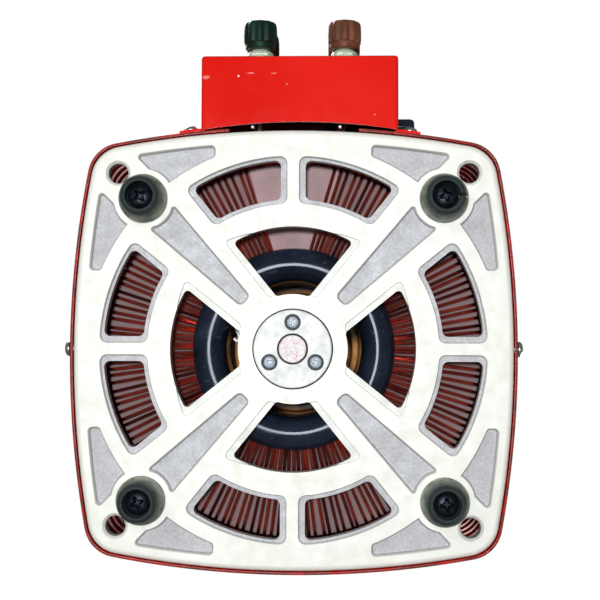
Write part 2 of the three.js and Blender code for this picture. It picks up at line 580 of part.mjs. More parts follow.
function terminalBox() {
  const { front, bottom, top, wall, back, rBack } = BOX;
  const outer = box(boxLeft, boxRight, -front, -80, bottom, top);
  const inner = box(boxLeft + wall, boxRight - wall, wall - front, -70, bottom + wall, top - wall);
  // The back edges are cut to an arc a little tighter than the cover's wall.
  const backArc = rod(rBack, 0, 200, 160).translate(BOX.x, rBack - back, 0);
  const meterHole = box(
    METER.x - METER.body / 2 - GAP, METER.x + METER.body / 2 + GAP, -front - 1, wall + 1 - front,
    METER.z - METER.bodyHeight / 2 - GAP, METER.z + METER.bodyHeight / 2 + GAP,
  );
  const fuseHole = rodX(FUSE.rBody + GAP, boxRight - 5, boxRight + 5, 16).translate(0, FUSE.y, FUSE.z);
  const cuts = [backArc, meterHole, fuseHole];
  for (const [, x, z] of posts) {
    cuts.push(rodY(POST.rStud + 1 + GAP, -front - 1, 3 - front, 8).translate(x, 0, z));
  }
  const ears = [];
  for (const z of [EAR.lower, EAR.upper]) {
    for (const side of [-1, 1]) {
      const x0 = side < 0 ? boxLeft - EAR.reach : boxRight - wall;
      const x1 = side < 0 ? boxLeft + wall : boxRight + EAR.reach;
      ears.push(plate(wallBand(x0, x1), z, z + EAR.height, 3));
    }
  }
  for (const [x, y, a, z] of coverScrewSpots.slice(2)) {
    cuts.push(rodY(SCREW.rShank + GAP, -4, 4, 10).rotateZ(a).translate(x, y, z));
  }
  const shell = geometryOf(solid(outer).subtract(solid(inner)).subtract(solid(cuts.shift())));
  return shaped(shell, ears, cuts);
}

// A strip of sheet that follows the cover's front wall from x0 to x1.
function wallBand(x0, x1) {
  const steps = 4;
  const edge = (out) =>
    Array.from({ length: steps + 1 }, (_, i) => {
      const x = x0 + ((x1 - x0) * i) / steps;
      return [x, wallY(x, out)];
    });
  return rounded([...edge(BOX.wall + GAP), ...edge(GAP).reverse()]);
}

// The four binding posts: name, place and finish. The lower two take the supply, the upper give the output.
const posts = [
  ["supply_neutral", POST.x - POST.half, POST.lower, GREEN_POST],
  ["supply_live", POST.x + POST.half, POST.lower, BROWN_POST],
  ["output_neutral", POST.x - POST.half, POST.upper, GREEN_POST],
  ["output_live", POST.x + POST.half, POST.upper, BROWN_POST],
];

// A post's insulating flange and bush, with the stud that its cap screws onto.
function postBase() {
  const face = -BOX.front - GAP;
  const stud = rodY(POST.rStud, face - POST.flange - 4, -BOX.front + STUD_INSIDE, 8);
  const bush = rodY(POST.rStud + 1, face - 1, -BOX.front + BOX.wall + 1, 8);
  const nut = rodY(POST.rNut, -BOX.front + BOX.wall + GAP, -BOX.front + BOX.wall + 3.6, 6);
  return shaped(rodY(POST.rFlange, face - POST.flange, face, 16), [stud, bush, nut]);
}

// A post's cap: a fluted grip over a plain collar, threaded inside for the stud.
function postCap() {
  const near = -BOX.front - 2 * GAP - POST.flange;
  const grip = plate(fluted(CAP.r, CAP.flutes, CAP.flute), 0, CAP.grip).rotateX(Math.PI / 2);
  grip.translate(0, near - CAP.collar, 0);
  const thread = rodY(POST.rStud + GAP, near - CAP.thread, near + 1, 8);
  return shaped(grip, [rodY(CAP.rCollar, near - CAP.collar - 1, near, 16)], [thread]);
}

// ---- Voltmeter ----------------------------------------------------------------------------------
const meterFront = -BOX.front - GAP;
const ZERO_R = 2; // the boss of the needle's zero adjuster

function meterCase() {
  const { x, z, width, height, proud, body, bodyHeight, depth, rim } = METER;
  const slab = (w, h, y0, y1) => box(x - w / 2, x + w / 2, y0, y1, z - h / 2, z + h / 2);
  const bezel = slab(width, height, meterFront - proud, meterFront);
  const back = slab(body, bodyHeight, meterFront - 1, meterFront + depth);
  const well = slab(width - 2 * rim, height - 2 * rim, meterFront - proud - 1, meterFront - 1.6);
  const open = geometryOf(solid(bezel).subtract(solid(well)));
  const zero = z - height / 2 + rim + 3;
  const boss = rodY(ZERO_R, meterFront - proud - 0.4, meterFront - 1, 16).translate(x, 0, zero);
  const slot = box(x - 1.5, x + 1.5, meterFront - proud - 1, meterFront - proud + 0.3, zero - 0.3, zero + 0.3);
  return shaped(open, [back, boss], [slot]);
}

// A flat piece that fills the meter's well but for a gap, between two depths behind its front.
function meterPane(y0, y1) {
  const { x, z, width, height, rim } = METER;
  const [w, h] = [width / 2 - rim - GAP, height / 2 - rim - GAP];
  const zero = rodY(ZERO_R + GAP, y0 - 1, y1 + 1, 16).translate(x, 0, z - height / 2 + rim + 3);
  return shaped(box(x - w, x + w, y0, y1, z - h, z + h), [], [zero]);
}
const meterDial = () => meterPane(meterFront - 2.6, meterFront - 1.9);
const meterWindow = () => meterPane(meterFront - METER.proud + 0.4, meterFront - METER.proud + 1.6);
const NEEDLE_Y = meterFront - 3.7;
function needle() {
  const { length, half, thick, rHub } = NEEDLE;
  const y = NEEDLE_Y;
  const point = new THREE.Shape();
  point.moveTo(-1.2, -3.8);
  point.lineTo(1.2, -3.8);
  point.lineTo(half, length * 0.7);
  point.lineTo(0, length);
  point.lineTo(-half, length * 0.7);
  const blade = plate(point, 0, thick).rotateX(Math.PI / 2).translate(0, y + thick / 2, 0);
  const turnedBlade = blade.rotateY(radians(-NEEDLE.restAngle));
  const pivot = rodY(rHub, y - 0.5, y + 0.5, 16);
  return shaped(turnedBlade, [pivot]).translate(METER.x, 0, METER.z - PIVOT_DROP);
}

// ---- Fuse ---------------------------------------------------------------------------------------
// The holder is a tube through the box's right side, with a flange outside; the cap carries the fuse link.
function fuseHolder() {
  const flange = rodX(FUSE.rCap, boxRight + GAP, boxRight + 2.4, 20);
  const tube = rodX(FUSE.rBody, boxRight - FUSE.body, boxRight + 1, 16);
  const bore = rodX(FUSE.rBore, boxRight - FUSE.body + 2, boxRight + 5, 16);
  return shaped(tube, [flange], [bore]).translate(0, FUSE.y, FUSE.z);
}

function fuseCap() {
  const start = boxRight + 2.4 + GAP;
  const grip = plate(fluted(FUSE.rCap - 0.3, 12, 0.4), 0, FUSE.cap - 2.4).rotateY(Math.PI / 2);
  grip.translate(start, 0, 0);
  const plug = rodX(FUSE.rBore - GAP, start - 5, start + 1, 16);
  const socket = rodX(FUSE.rLink + GAP, start - 6, start + 2, 12);
  return shaped(grip, [plug], [socket]).translate(0, FUSE.y, FUSE.z);
}

const fuseLink = () =>
  rodX(FUSE.rLink, boxRight + 4.4 - FUSE.link, boxRight + 4.4, 12).translate(0, FUSE.y, FUSE.z);

// ---- Leads --------------------------------------------------------------------------------------
const studEnd = STUD_INSIDE - BOX.front + GAP;
// The winding's two ends, at either side of its gap, run forward to the supply posts.
function windingLead(side, post) {
  const [, x, z] = post;
  const out = COIL_OUT + LEAD_R + GAP;
  const a = radians(WINDING_GAP.middle + side * (WINDING_GAP.half - 3.5));
  const [startX, startY] = [out * Math.cos(a), out * Math.sin(a)];
  return tube([
    [startX, startY, 45], [startX, startY, 34], [(startX + x) / 2, -87, 27], [x, -93, 24.5],
    [x, studEnd - LEAD_R + 3, z - 1], [x, studEnd + LEAD_R, z],
  ], LEAD_R, 14);
}

// From the pickup, forward under the cover, down its front and out through the notch.
function brushLead() {
  const [, x, z] = posts[3];
  const top = COVER.top - COVER.wall - LEAD_R - 1.2;
  return tube([
    [0, -44 - GAP, top - 1.5], [1, -60, top - 0.6], [4, -78, top - 4], [7, -85, top - 14], [9, -86, 80],
    [11, -86.2, 66], [14, -90, 55], [x - 2, -98, 49], [x, studEnd + LEAD_R, z],
  ], LEAD_R, 24);
}

// From the supply's neutral post up to the output's, inside the box.
function commonLead() {
  const [, x, low] = posts[0];
  const y = studEnd + LEAD_R + 3;
  return tube([
    [x - 3.2, y - 4, low + 4], [x - 3.6, y - 2, low + 8],
    [x - 3.6, y - 2, POST.upper - 8], [x - 3.2, y - 4, POST.upper - 4],
  ], LEAD_R, 10);
}

// ---- Assembly -----------------------------------------------------------------------------------
const variac = new THREE.Group();
variac.position.y = AXIS_Y;

function add(name, geometry, material, [x, y, z] = [0, 0, 0], turn = 0) {
  const mesh = new THREE.Mesh(geometry, material);
  mesh.name = name;
  mesh.position.set(x, y, z);
  mesh.rotation.z = turn;
  variac.add(mesh);
}

add("base", base(), CAST);
for (const [name, sx, sy] of corners) {
  const spot = [sx * FOOT.offset, sy * FOOT.offset, 0];
  add(`foot_${name}`, foot(name === "front_right"), RUBBER, spot);
  add(`foot_screw_${name}`, screw(FOOT_SCREW, 10), DARK_STEEL, [spot[0], spot[1], FOOT.recess - GAP]);
}
add("bearing_flange", bearingFlange(), CAST);
flangeSpots.forEach(([x, y], i) => {
  add(`flange_screw_${i + 1}`, screw(FLANGE_SCREW), STEEL, [x, y, flangeBottom + FLANGE_SEAT - GAP]);
});

add("lower_cup", lowerCup(), BLACK);
add("core", core(), STEEL);
add("insulation_lower", insulation(-1), PAPER_FINISH);
add("insulation_upper", insulation(1), PAPER_FINISH);
add("winding", winding(), ENAMEL);
add("upper_clamp", upperClamp(), PHENOLIC);
tieSpots.forEach(([x, y], i) => add(`tie_bolt_${i + 1}`, tieBolt(), STEEL, [x, y, 0]));
add("upper_bearing", upperBearing(), BRASS);

const rest = radians(REST_ANGLE);
add("shaft", rotorShaft(), STEEL);
add("brush_arm", brushArm(), CAST, [0, 0, 0], rest);
add("carbon_brush", carbonBrush(), GRAPHITE, [0, 0, 0], rest);
add("brush_spring", brushSpring(), STEEL, [0, 0, 0], rest);
add("slip_ring", slipRing(), BRASS);
add("pickup", pickup(), BRASS);
add("knob", knob(), BLACK, [0, 0, 0], rest);
add("knob_cap", knobCap(), STEEL);

add("cover", cover(), RED);
const coverScrews = ["left", "right", "lower_left", "lower_right", "upper_left", "upper_right"];
coverScrews.forEach((name, i) => {
  const [x, y, a, z] = coverScrewSpots[i];
  // The head sits a gap off the sheet: the cover's own at the sides, and the box's ear over it at the front.
  const out = i < 2 ? GAP : 2 * GAP + BOX.wall;
  const geometry = screw(SCREW).rotateX(-Math.PI / 2);
  add(`cover_screw_${name}`, geometry, STEEL, [x + out * Math.sin(a), y - out * Math.cos(a), z], a);
});
add("dial_plate", dialPlate(), WHITE);
add("stop_pin", stopPin(), STEEL);

add("terminal_box", terminalBox(), RED);
for (const [name, x, z, material] of posts) {
  add(`post_base_${name}`, postBase(), BRASS, [x, 0, z]);
  add(`post_cap_${name}`, postCap(), material, [x, 0, z]);
}
add("meter_case", meterCase(), BLACK);
add("meter_dial", meterDial(), WHITE);
add("meter_window", meterWindow(), GLASS);
add("meter_needle", needle(), BLACK);
add("fuse_holder", fuseHolder(), BLACK);
add("fuse_cap", fuseCap(), BLACK);
add("fuse_link", fuseLink(), GLASS);
add("lead_winding_start", windingLead(-1, posts[0]), BROWN_POST);
add("lead_winding_end", windingLead(1, posts[1]), BROWN_POST);
add("lead_brush", brushLead(), BROWN_POST);
add("lead_common", commonLead(), BLACK);

export default variac;
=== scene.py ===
import math
import random

import bmesh
import bpy
from mathutils import Matrix, Vector

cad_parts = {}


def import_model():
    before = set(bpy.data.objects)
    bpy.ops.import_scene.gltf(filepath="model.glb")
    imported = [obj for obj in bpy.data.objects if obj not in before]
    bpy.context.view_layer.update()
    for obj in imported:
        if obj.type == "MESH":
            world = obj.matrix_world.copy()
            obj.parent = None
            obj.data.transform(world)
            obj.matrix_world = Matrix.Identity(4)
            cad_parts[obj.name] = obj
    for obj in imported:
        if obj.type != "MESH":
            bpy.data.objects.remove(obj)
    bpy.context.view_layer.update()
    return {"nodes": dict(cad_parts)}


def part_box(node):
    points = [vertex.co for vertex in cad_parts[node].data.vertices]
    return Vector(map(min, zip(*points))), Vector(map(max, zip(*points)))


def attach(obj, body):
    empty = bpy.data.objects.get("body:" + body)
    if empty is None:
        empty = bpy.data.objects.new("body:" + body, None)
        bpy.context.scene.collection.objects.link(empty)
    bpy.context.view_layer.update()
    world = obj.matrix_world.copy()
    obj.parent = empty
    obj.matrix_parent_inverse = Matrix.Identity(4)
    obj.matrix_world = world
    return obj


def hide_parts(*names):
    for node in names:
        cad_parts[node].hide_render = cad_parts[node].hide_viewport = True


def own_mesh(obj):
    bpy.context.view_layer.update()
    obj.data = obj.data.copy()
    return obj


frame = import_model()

# A bench variac, seen from below: the cast base with its windows, the coil inside, the red cover round it.
# Outlines are in millimetres and meshes in metres. Places come from the frame.

MM = 0.001
random.seed(7)


def box_mm(node):
    low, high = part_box(node)
    return low / MM, high / MM


def centre_mm(node):
    low, high = box_mm(node)
    return (low + high) / 2


SHAFT_LOW, SHAFT_HIGH = box_mm("shaft")
AXIS_X, AXIS_Y, _ = centre_mm("shaft")
AXIS = (AXIS_X, AXIS_Y, 0)
SIDE_RADIUS = 393
QUARTERS = (0, 90, 180, 270)
FLANGE_R = 15.7
# Marks in the paint under the terminal box: place from the axis, radius, strength, narrowness along Y
PAINT_CHIPS = (
    (-22.3, -111, 0.5, 1.0, 1), (-35.6, -110.6, 1.3, 0.35, 1.6), (-17.4, -112.2, 1.5, 0.4, 4.5),
    (-8, -112.1, 1.3, 0.3, 4), (-2.7, -107.6, 0.35, 0.4, 1), (33, -95, 0.5, 0.35, 2),
)
BOX_UNDERSIDE = 12.9
CORNERS = {"front_left": (-1, -1), "front_right": (1, -1), "rear_left": (-1, 1), "rear_right": (1, 1)}

# ---- Meshes --------------------------------------------------------------------------------------

UP = Matrix.Identity(3)
DOWN = Matrix(((1, 0, 0), (0, -1, 0), (0, 0, -1)))
FRONT = Matrix(((1, 0, 0), (0, 0, -1), (0, 1, 0)))
RIGHT = Matrix(((0, 0, 1), (1, 0, 0), (0, 1, 0)))


def place(obj, at, toward=UP):
    """Turns a mesh made about Z so that its Z points toward, and moves it, in its own vertices."""
    obj.data.transform(Matrix.Translation(Vector(at) * MM) @ toward.to_4x4())
    return obj


def smooth(obj, angle=32):
    obj.data.polygons.foreach_set("use_smooth", [True] * len(obj.data.polygons))
    obj.data.set_sharp_from_angle(angle=math.radians(angle))
    return obj


def linked(name, data):
    obj = bpy.data.objects.new(name, data)
    bpy.context.scene.collection.objects.link(obj)
    return obj


def mesh_of(name, made):
    """A bmesh in millimetres as a mesh in metres."""
    bmesh.ops.scale(made, vec=(MM, MM, MM), verts=made.verts)
    mesh = bpy.data.meshes.new(name)
    made.to_mesh(mesh)
    made.free()
    return mesh


def piece(name, made):
    """A bmesh in millimetres as an object in metres."""
    bmesh.ops.recalc_face_normals(made, faces=made.faces)
    return smooth(linked(name, mesh_of(name, made)))


def evaluated(obj):
    """The object's mesh with its modifiers in it."""
    graph = bpy.context.evaluated_depsgraph_get()
    return bpy.data.meshes.new_from_object(obj.evaluated_get(graph))


def applied(obj):
    mesh = evaluated(obj)
    obj.modifiers.clear()
    obj.data = mesh
    return obj


def combined(obj, others, operation):
    for other in others:
        step = obj.modifiers.new("combine", "BOOLEAN")
        step.operation = operation
        step.solver = "EXACT"
        step.object = other
    applied(obj)
    for other in others:
        bpy.data.objects.remove(other)
    return smooth(obj)


def cut(obj, *cutters):
    return combined(obj, cutters, "DIFFERENCE")


def bevelled(obj, width, segments=2, angle=38):
    step = obj.modifiers.new("bevel", "BEVEL")
    step.width = width * MM
    step.segments = segments
    step.limit_method = "ANGLE"
    step.angle_limit = math.radians(angle)
    step.miter_outer = "MITER_ARC"
    smooth(applied(obj))
    level = obj.modifiers.new("level", "WEIGHTED_NORMAL")
    level.keep_sharp = True
    return applied(obj)


def mark_faces(obj, name, test):
    """Marks the faces that pass a test of their middle and normal, for the material to find."""
    marks = obj.data.attributes.new(name, "FLOAT", "FACE")
    for face, mark in zip(obj.data.polygons, marks.data):
        mark.value = float(test(face.center / MM, face.normal))
    return obj


def add_rings(made, rings, capped=True, joined=False):
    """Adds a skin through rings of points: capped at both ends, or joined from the last ring to the first."""
    rows = [[made.verts.new(point) for point in ring] for ring in rings]
    following = rows[1:] + rows[:1] if joined else rows[1:]
    for row, other in zip(rows, following):
        for i in range(len(row)):
            k = (i + 1) % len(row)
            made.faces.new((row[i], row[k], other[k], other[i]))
    if capped and not joined:
        made.faces.new(rows[0])
        made.faces.new(rows[-1])


def lathe(name, profile, sides=96):
    """A (radius, height) profile turned about Z: a closed loop, or one that starts and ends on the axis."""
    made = bmesh.new()
    solid_core = profile[0][0] == 0
    points = profile[1:-1] if solid_core else profile
    turns = [math.tau * i / sides for i in range(sides)]
    rings = [[(r * math.cos(a), r * math.sin(a), z) for a in turns] for r, z in points]
    add_rings(made, rings, capped=solid_core, joined=not solid_core)
    return piece(name, made)


def filleted(points, steps=5):
    """A loop of (x, y) or (x, y, radius): each corner with a radius becomes an arc."""
    out = []
    for i, point in enumerate(points):
        here = Vector(point[:2])
        radius = point[2] if len(point) > 2 else 0
        if not radius:
            out.append(tuple(here))
            continue
        a = Vector(points[i - 1][:2]) - here
        b = Vector(points[(i + 1) % len(points)][:2]) - here
        half = a.angle(b) / 2
        reach = min(radius / math.tan(half), a.length * 0.49, b.length * 0.49)
        radius = reach * math.tan(half)
        a.normalize()
        b.normalize()
        centre = here + (a + b).normalized() * radius / math.sin(half)
        first = here + a * reach - centre
        last = here + b * reach - centre
        turn = first.angle_signed(last)
        for k in range(steps + 1):
            spot = first.copy()
            spot.rotate(Matrix.Rotation(-turn * k / steps, 2))
            out.append(tuple(centre + spot))
    return out


def grown(points, by):
    """A loop moved outwards by a distance, or inwards where it is negative."""
    area = sum(p[0] * q[1] - q[0] * p[1] for p, q in zip(points, points[1:] + points[:1]))
    sign = 1 if area > 0 else -1
    out = []
    for i, point in enumerate(points):
        before = (Vector(point) - Vector(points[i - 1])).normalized()
        after = (Vector(points[(i + 1) % len(points)]) - Vector(point)).normalized()
        normal = Vector((before.y + after.y, -before.x - after.x)).normalized() * sign
        stretch = max(abs(normal.dot(Vector((before.y, -before.x)))), 0.5)
        out.append(tuple(Vector(point) + normal * by / stretch))
    return out


def turned(points, degrees):
    c, s = math.cos(math.radians(degrees)), math.sin(math.radians(degrees))
    return [(x * c - y * s, x * s + y * c) for x, y in points]


def mirrored(points):
    return [(-x, y) for x, y in reversed(points)]


def add_prism(made, low, high, z0, z1):
    add_rings(made, [[(x, y, z0) for x, y in low], [(x, y, z1) for x, y in high]])


def upright(outline, *places):
    """Rings of an outline in the XZ plane, at places along Y."""
    return [[(x, y, z) for x, z in outline] for y in places]


def prism(name, outline, z0, z1):
    made = bmesh.new()
    add_prism(made, outline, outline, z0, z1)
    return piece(name, made)


def circle(r, x=0, y=0, sides=48):
    angles = [math.tau * i / sides for i in range(sides)]
    return [(x + r * math.cos(a), y + r * math.sin(a)) for a in angles]


def arc(cx, cy, r, start, end, steps):
    """Points from angle start to end, in radians, both included."""
    angles = [start + (end - start) * i / steps for i in range(steps + 1)]
    return [(cx + r * math.cos(a), cy + r * math.sin(a)) for a in angles]


def rounded_box(x0, x1, y0, y1, r=0, steps=4):
    return filleted([(x0, y0, r), (x1, y0, r), (x1, y1, r), (x0, y1, r)], steps)


def bulged_square(half, corner, side_radius=SIDE_RADIUS, steps=20):
    inward = side_radius - half
    c = (-inward + math.sqrt(2 * (side_radius - corner) ** 2 - inward**2)) / 2
    turn = math.atan2(c, c + inward)
    side = arc(-inward, 0, side_radius, -turn, turn, steps)
    bend = arc(c, c, corner, turn, math.pi / 2 - turn, 10)
    return [p for a in QUARTERS for p in turned(side[:-1] + bend[:-1], a)]


def fluted(name, r, flutes, sides_each, levels, base=0.0):
    """A fluted grip about Z through levels of height, share of the radius and depth of the flutes."""
    made = bmesh.new()
    angles = [math.tau * i / (flutes * sides_each) for i in range(flutes * sides_each)]
    rings = []
    for z, share, depth in levels:
        reach = [(a, r * share - depth * abs(math.cos(a * flutes / 2)) ** 4) for a in angles]
        rings.append([(here * math.cos(a), here * math.sin(a), base + z) for a, here in reach])
    add_rings(made, rings)
    return piece(name, made)


def tube(name, path, r, sides=10):
    """A round tube along points, in millimetres."""
    points = [Vector(p) for p in path]
    made = bmesh.new()
    rings = []
    side = None
    for i, here in enumerate(points):
        along = (points[min(i + 1, len(points) - 1)] - points[max(i - 1, 0)]).normalized()
        side = (side or along.orthogonal()) - (side or along.orthogonal()).project(along)
        side.normalize()
        other = along.cross(side)
        turns = [math.tau * k / sides for k in range(sides)]
        rings.append([here + (side * math.cos(a) + other * math.sin(a)) * r for a in turns])
    add_rings(made, rings)
    return piece(name, made)


def curved(points, steps=6):
    """A smooth Catmull-Rom line through a few points."""
    p = [Vector(q) for q in points]
    p = [2 * p[0] - p[1], *p, 2 * p[-1] - p[-2]]
    out = []
    for i in range(1, len(p) - 2):
        for k in range(steps):
            t = k / steps
            a, b, c, d = p[i - 1 : i + 3]
            bend = (2 * a - 5 * b + 4 * c - d) * t**2 + (3 * (b - c) + d - a) * t**3
            out.append(0.5 * (2 * b + (c - a) * t + bend))
    return [*out, p[-2]]


# ---- Materials -----------------------------------------------------------------------------------


class Finish:
    """A node material about one Principled shader. Noise sizes are millimetres in the object's own frame."""

    def __init__(self, name, roughness=0.5, metallic=0.0, **settings):
        self.material = bpy.data.materials.new(name)
        self.material.use_nodes = True
        self.tree = self.material.node_tree
        self.shader = self.tree.nodes["Principled BSDF"]
        self.set("Roughness", roughness)
        self.set("Metallic", metallic)
        for key, value in settings.items():
            self.set(key.replace("_", " ").title().replace("Ior", "IOR"), value)
        self.place = self.node("ShaderNodeTexCoord").outputs["Object"]

    def node(self, kind, inputs=None, **settings):
        made = self.tree.nodes.new(kind)
        for key, value in settings.items():
            setattr(made, key, value)
        for key, value in (inputs or {}).items():
            if isinstance(value, bpy.types.NodeSocket):
                self.tree.links.new(value, made.inputs[key])
            else:
                made.inputs[key].default_value = value
        return made

    def set(self, socket, value):
        if isinstance(value, bpy.types.NodeSocket):
            self.tree.links.new(value, self.shader.inputs[socket])
        else:
            self.shader.inputs[socket].default_value = value

    def noise(self, size, detail=3.0, stretch=None, roughness=0.55):
        where = self.place
        if stretch:
            where = self.node("ShaderNodeMapping", {"Vector": where, "Scale": stretch}).outputs["Vector"]
        inputs = {"Vector": where, "Scale": 1 / (size * MM), "Detail": detail, "Roughness": roughness}
        return self.node("ShaderNodeTexNoise", inputs).outputs["Fac"]

    def cells(self, size, feature="F1"):
        inputs = {"Vector": self.place, "Scale": 1 / (size * MM)}
        return self.node("ShaderNodeTexVoronoi", inputs, feature=feature).outputs["Distance"]

    def ranged(self, value, low, high, to_low=0.0, to_high=1.0):
        inputs = {"Value": value, "From Min": low, "From Max": high, "To Min": to_low, "To Max": to_high}
        return self.node("ShaderNodeMapRange", inputs).outputs["Result"]

    def patches(self, size, detail, *limits):
        """Noise as an even slope between two of its values, from 0 to 1 or between two more numbers."""
        return self.ranged(self.noise(size, detail), *limits)

    def math(self, operation, a, b=0.0):
        return self.node("ShaderNodeMath", {0: a, 1: b}, operation=operation).outputs[0]

    def mix(self, factor, a, b, blend="MIX"):
        a, b = [c if isinstance(c, bpy.types.NodeSocket) else (*c, 1.0) for c in (a, b)]
        made = self.node("ShaderNodeMix", data_type="RGBA", blend_type=blend)
        for index, value in ((0, factor), (6, a), (7, b)):
            if isinstance(value, bpy.types.NodeSocket):
                self.tree.links.new(value, made.inputs[index])
            else:
                made.inputs[index].default_value = value
        return made.outputs[2]

    def bump(self, height, strength, distance=0.1):
        inputs = {"Height": height, "Strength": strength, "Distance": distance * MM}
        previous = self.shader.inputs["Normal"]
        if previous.is_linked:
            inputs["Normal"] = previous.links[0].from_socket
        self.set("Normal", self.node("ShaderNodeBump", inputs).outputs["Normal"])

    def scaled(self, by):
        """The place, scaled along each axis."""
        return self.node("ShaderNodeVectorMath", {0: self.place, 1: by}, operation="MULTIPLY").outputs[0]

    def distance(self, a, b):
        return self.node("ShaderNodeVectorMath", {0: a, 1: b}, operation="DISTANCE").outputs["Value"]

    def near(self, point, radius, across=1.0, ragged=0.4):
        """1 close to a point and 0 away from it, with an uneven edge. Across narrows it along Y."""
        centre = Vector((point[0], point[1] * across, point[2])) * MM
        away = self.distance(self.scaled((1, across, 1)), centre)
        wander = ragged * radius * MM
        edge = self.patches(radius * 0.9, 3.0, 0.3, 0.7, -wander, wander)
        return self.ranged(self.math("ADD", away, edge), 0.7 * radius * MM, 1.05 * radius * MM, 1.0, 0.0)

    def from_axis(self):
        """The distance from the shaft's axis, in metres."""
        return self.distance(self.scaled((1, 1, 0)), Vector(AXIS) * MM)

    def attribute(self, name):
        return self.node("ShaderNodeAttribute", attribute_name=name).outputs["Fac"]

    def height(self):
        """The Z of the place, in metres."""
        return self.node("ShaderNodeSeparateXYZ", {"Vector": self.place}).outputs["Z"]

    def paint(self, dark, light, size, stretch=None):
        """Blotches between two colours."""
        self.set("Base Color", self.mix(self.ranged(self.noise(size, 3.0, stretch), 0.3, 0.7), dark, light))

    def varied_roughness(self, low, high, size, stretch=None):
        self.set("Roughness", self.ranged(self.noise(size, 4.0, stretch), 0.3, 0.7, low, high))


def plain(name, dark, light, rough, metallic=0.0, size=4.0, grain=0.35, strength=0.12, stretch=None):
    """A finish with blotchy colour, uneven gloss and a fine grain, which suits small pieces."""
    made = Finish(name, metallic=metallic)
    made.paint(dark, light, size, stretch)
    made.varied_roughness(rough * 0.8, min(1.0, rough * 1.25), size * 0.7, stretch)
    made.bump(made.noise(grain, 2.0, stretch), strength, 0.05)
    return made.material


def cast_aluminium():
    """Pale sand-cast metal: its machined lower faces are nearly white, and its recesses are grey as cast. Its
    shallow ledges carry a little painted shade, and the gap round the flange's seat is painted near black as
    shade.
    """
    made = Finish("cast_aluminium", metallic=0.2)
    face = made.mix(made.patches(38, 4.0, 0.35, 0.68), (0.88, 0.89, 0.8), (0.93, 0.93, 0.86))
    stained = made.mix(made.patches(21, 5.0, 0.6, 0.85, 0, 0.4), face, (0.74, 0.78, 0.64))
    recess = made.mix(made.patches(1.2, 3.0, 0.3, 0.7), (0.44, 0.44, 0.45), (0.58, 0.58, 0.59))
    # Painted shade: the shallow ledges are greyed a quarter of the way towards the recess colour.
    ledge = made.ranged(made.height(), 0.0123, 0.0126, 0.0, 0.25)
    colour = made.mix(made.ranged(made.height(), 0.01275, 0.01345), made.mix(ledge, stained, recess), recess)
    specks = made.ranged(made.cells(3.1), 0.05, 0.09, 0.55, 0.0)
    rare = made.patches(9, 2.0, 0.58, 0.66)
    colour = made.mix(made.math("MULTIPLY", specks, rare), colour, (0.3, 0.28, 0.24))
    # Painted shade: a near-black ring in the gap round the flange's seat, on its wall and floor.
    seat = made.ranged(made.from_axis(), (FLANGE_R + 0.75) * MM, (FLANGE_R + 0.95) * MM, 1.0, 0.0)
    seat_gap_shade = made.math("MULTIPLY", seat, made.ranged(made.height(), 0.0122, 0.0124))
    made.set("Base Color", made.mix(seat_gap_shade, colour, (0.02, 0.022, 0.024)))
    made.set("Roughness", made.patches(6, 4.0, 0.3, 0.7, 0.42, 0.62))
    made.bump(made.noise(0.7, 4.0), 0.3, 0.12)
    made.bump(made.noise(7, 3.0), 0.25, 0.5)
    return made.material


def turned_aluminium():
    made = Finish("turned_aluminium", metallic=0.15)
    centred = made.node("ShaderNodeMapping", {"Vector": made.place, "Location": -Vector(AXIS) * MM})
    inputs = {"Vector": centred.outputs["Vector"], "Scale": 260.0, "Distortion": 1.5, "Detail": 2.0}
    rings = made.node("ShaderNodeTexWave", inputs, wave_type="RINGS", rings_direction="Z").outputs["Fac"]
    worn = made.mix(made.patches(7, 5.0, 0.4, 0.66), (0.88, 0.89, 0.85), (0.66, 0.67, 0.66))
    # Painted shade: the edge of the bore, round the shaft, is painted near black.
    bore = made.ranged(made.from_axis(), 0.0061, 0.0063, 1.0, 0.0)
    made.set("Base Color", made.mix(bore, worn, (0.03, 0.02, 0.02)))
    made.set("Roughness", made.patches(2, 3.0, 0.3, 0.7, 0.45, 0.6))
    made.bump(rings, 0.1, 0.04)
    made.bump(made.noise(0.5, 3.0), 0.15, 0.06)
    return made.material


def speckled_steel():
    """The shaft: bright round stock, whose lower end is pale with pinkish smears of primer and rust specks."""
    made = Finish("speckled_steel", metallic=0.15)
    end = made.ranged(made.height(), (SHAFT_LOW.z + 0.1) * MM, (SHAFT_LOW.z + 0.3) * MM, 1.0, 0.0)
    pale = made.mix(made.patches(2.4, 5.0, 0.45, 0.62), (0.92, 0.9, 0.9), (0.84, 0.66, 0.7))
    spots = made.mix(made.patches(0.45, 2.0, 0.61, 0.66), pale, (0.3, 0.07, 0.13))
    steel = made.mix(made.noise(1.0, 3.0, (1, 1, 0.1)), (0.1, 0.1, 0.1), (0.3, 0.3, 0.3))
    made.set("Base Color", made.mix(end, steel, spots))
    made.set("Roughness", made.ranged(end, 0, 1, 0.3, 0.6))
    made.bump(made.noise(0.5, 3.0), 0.25, 0.06)
    return made.material


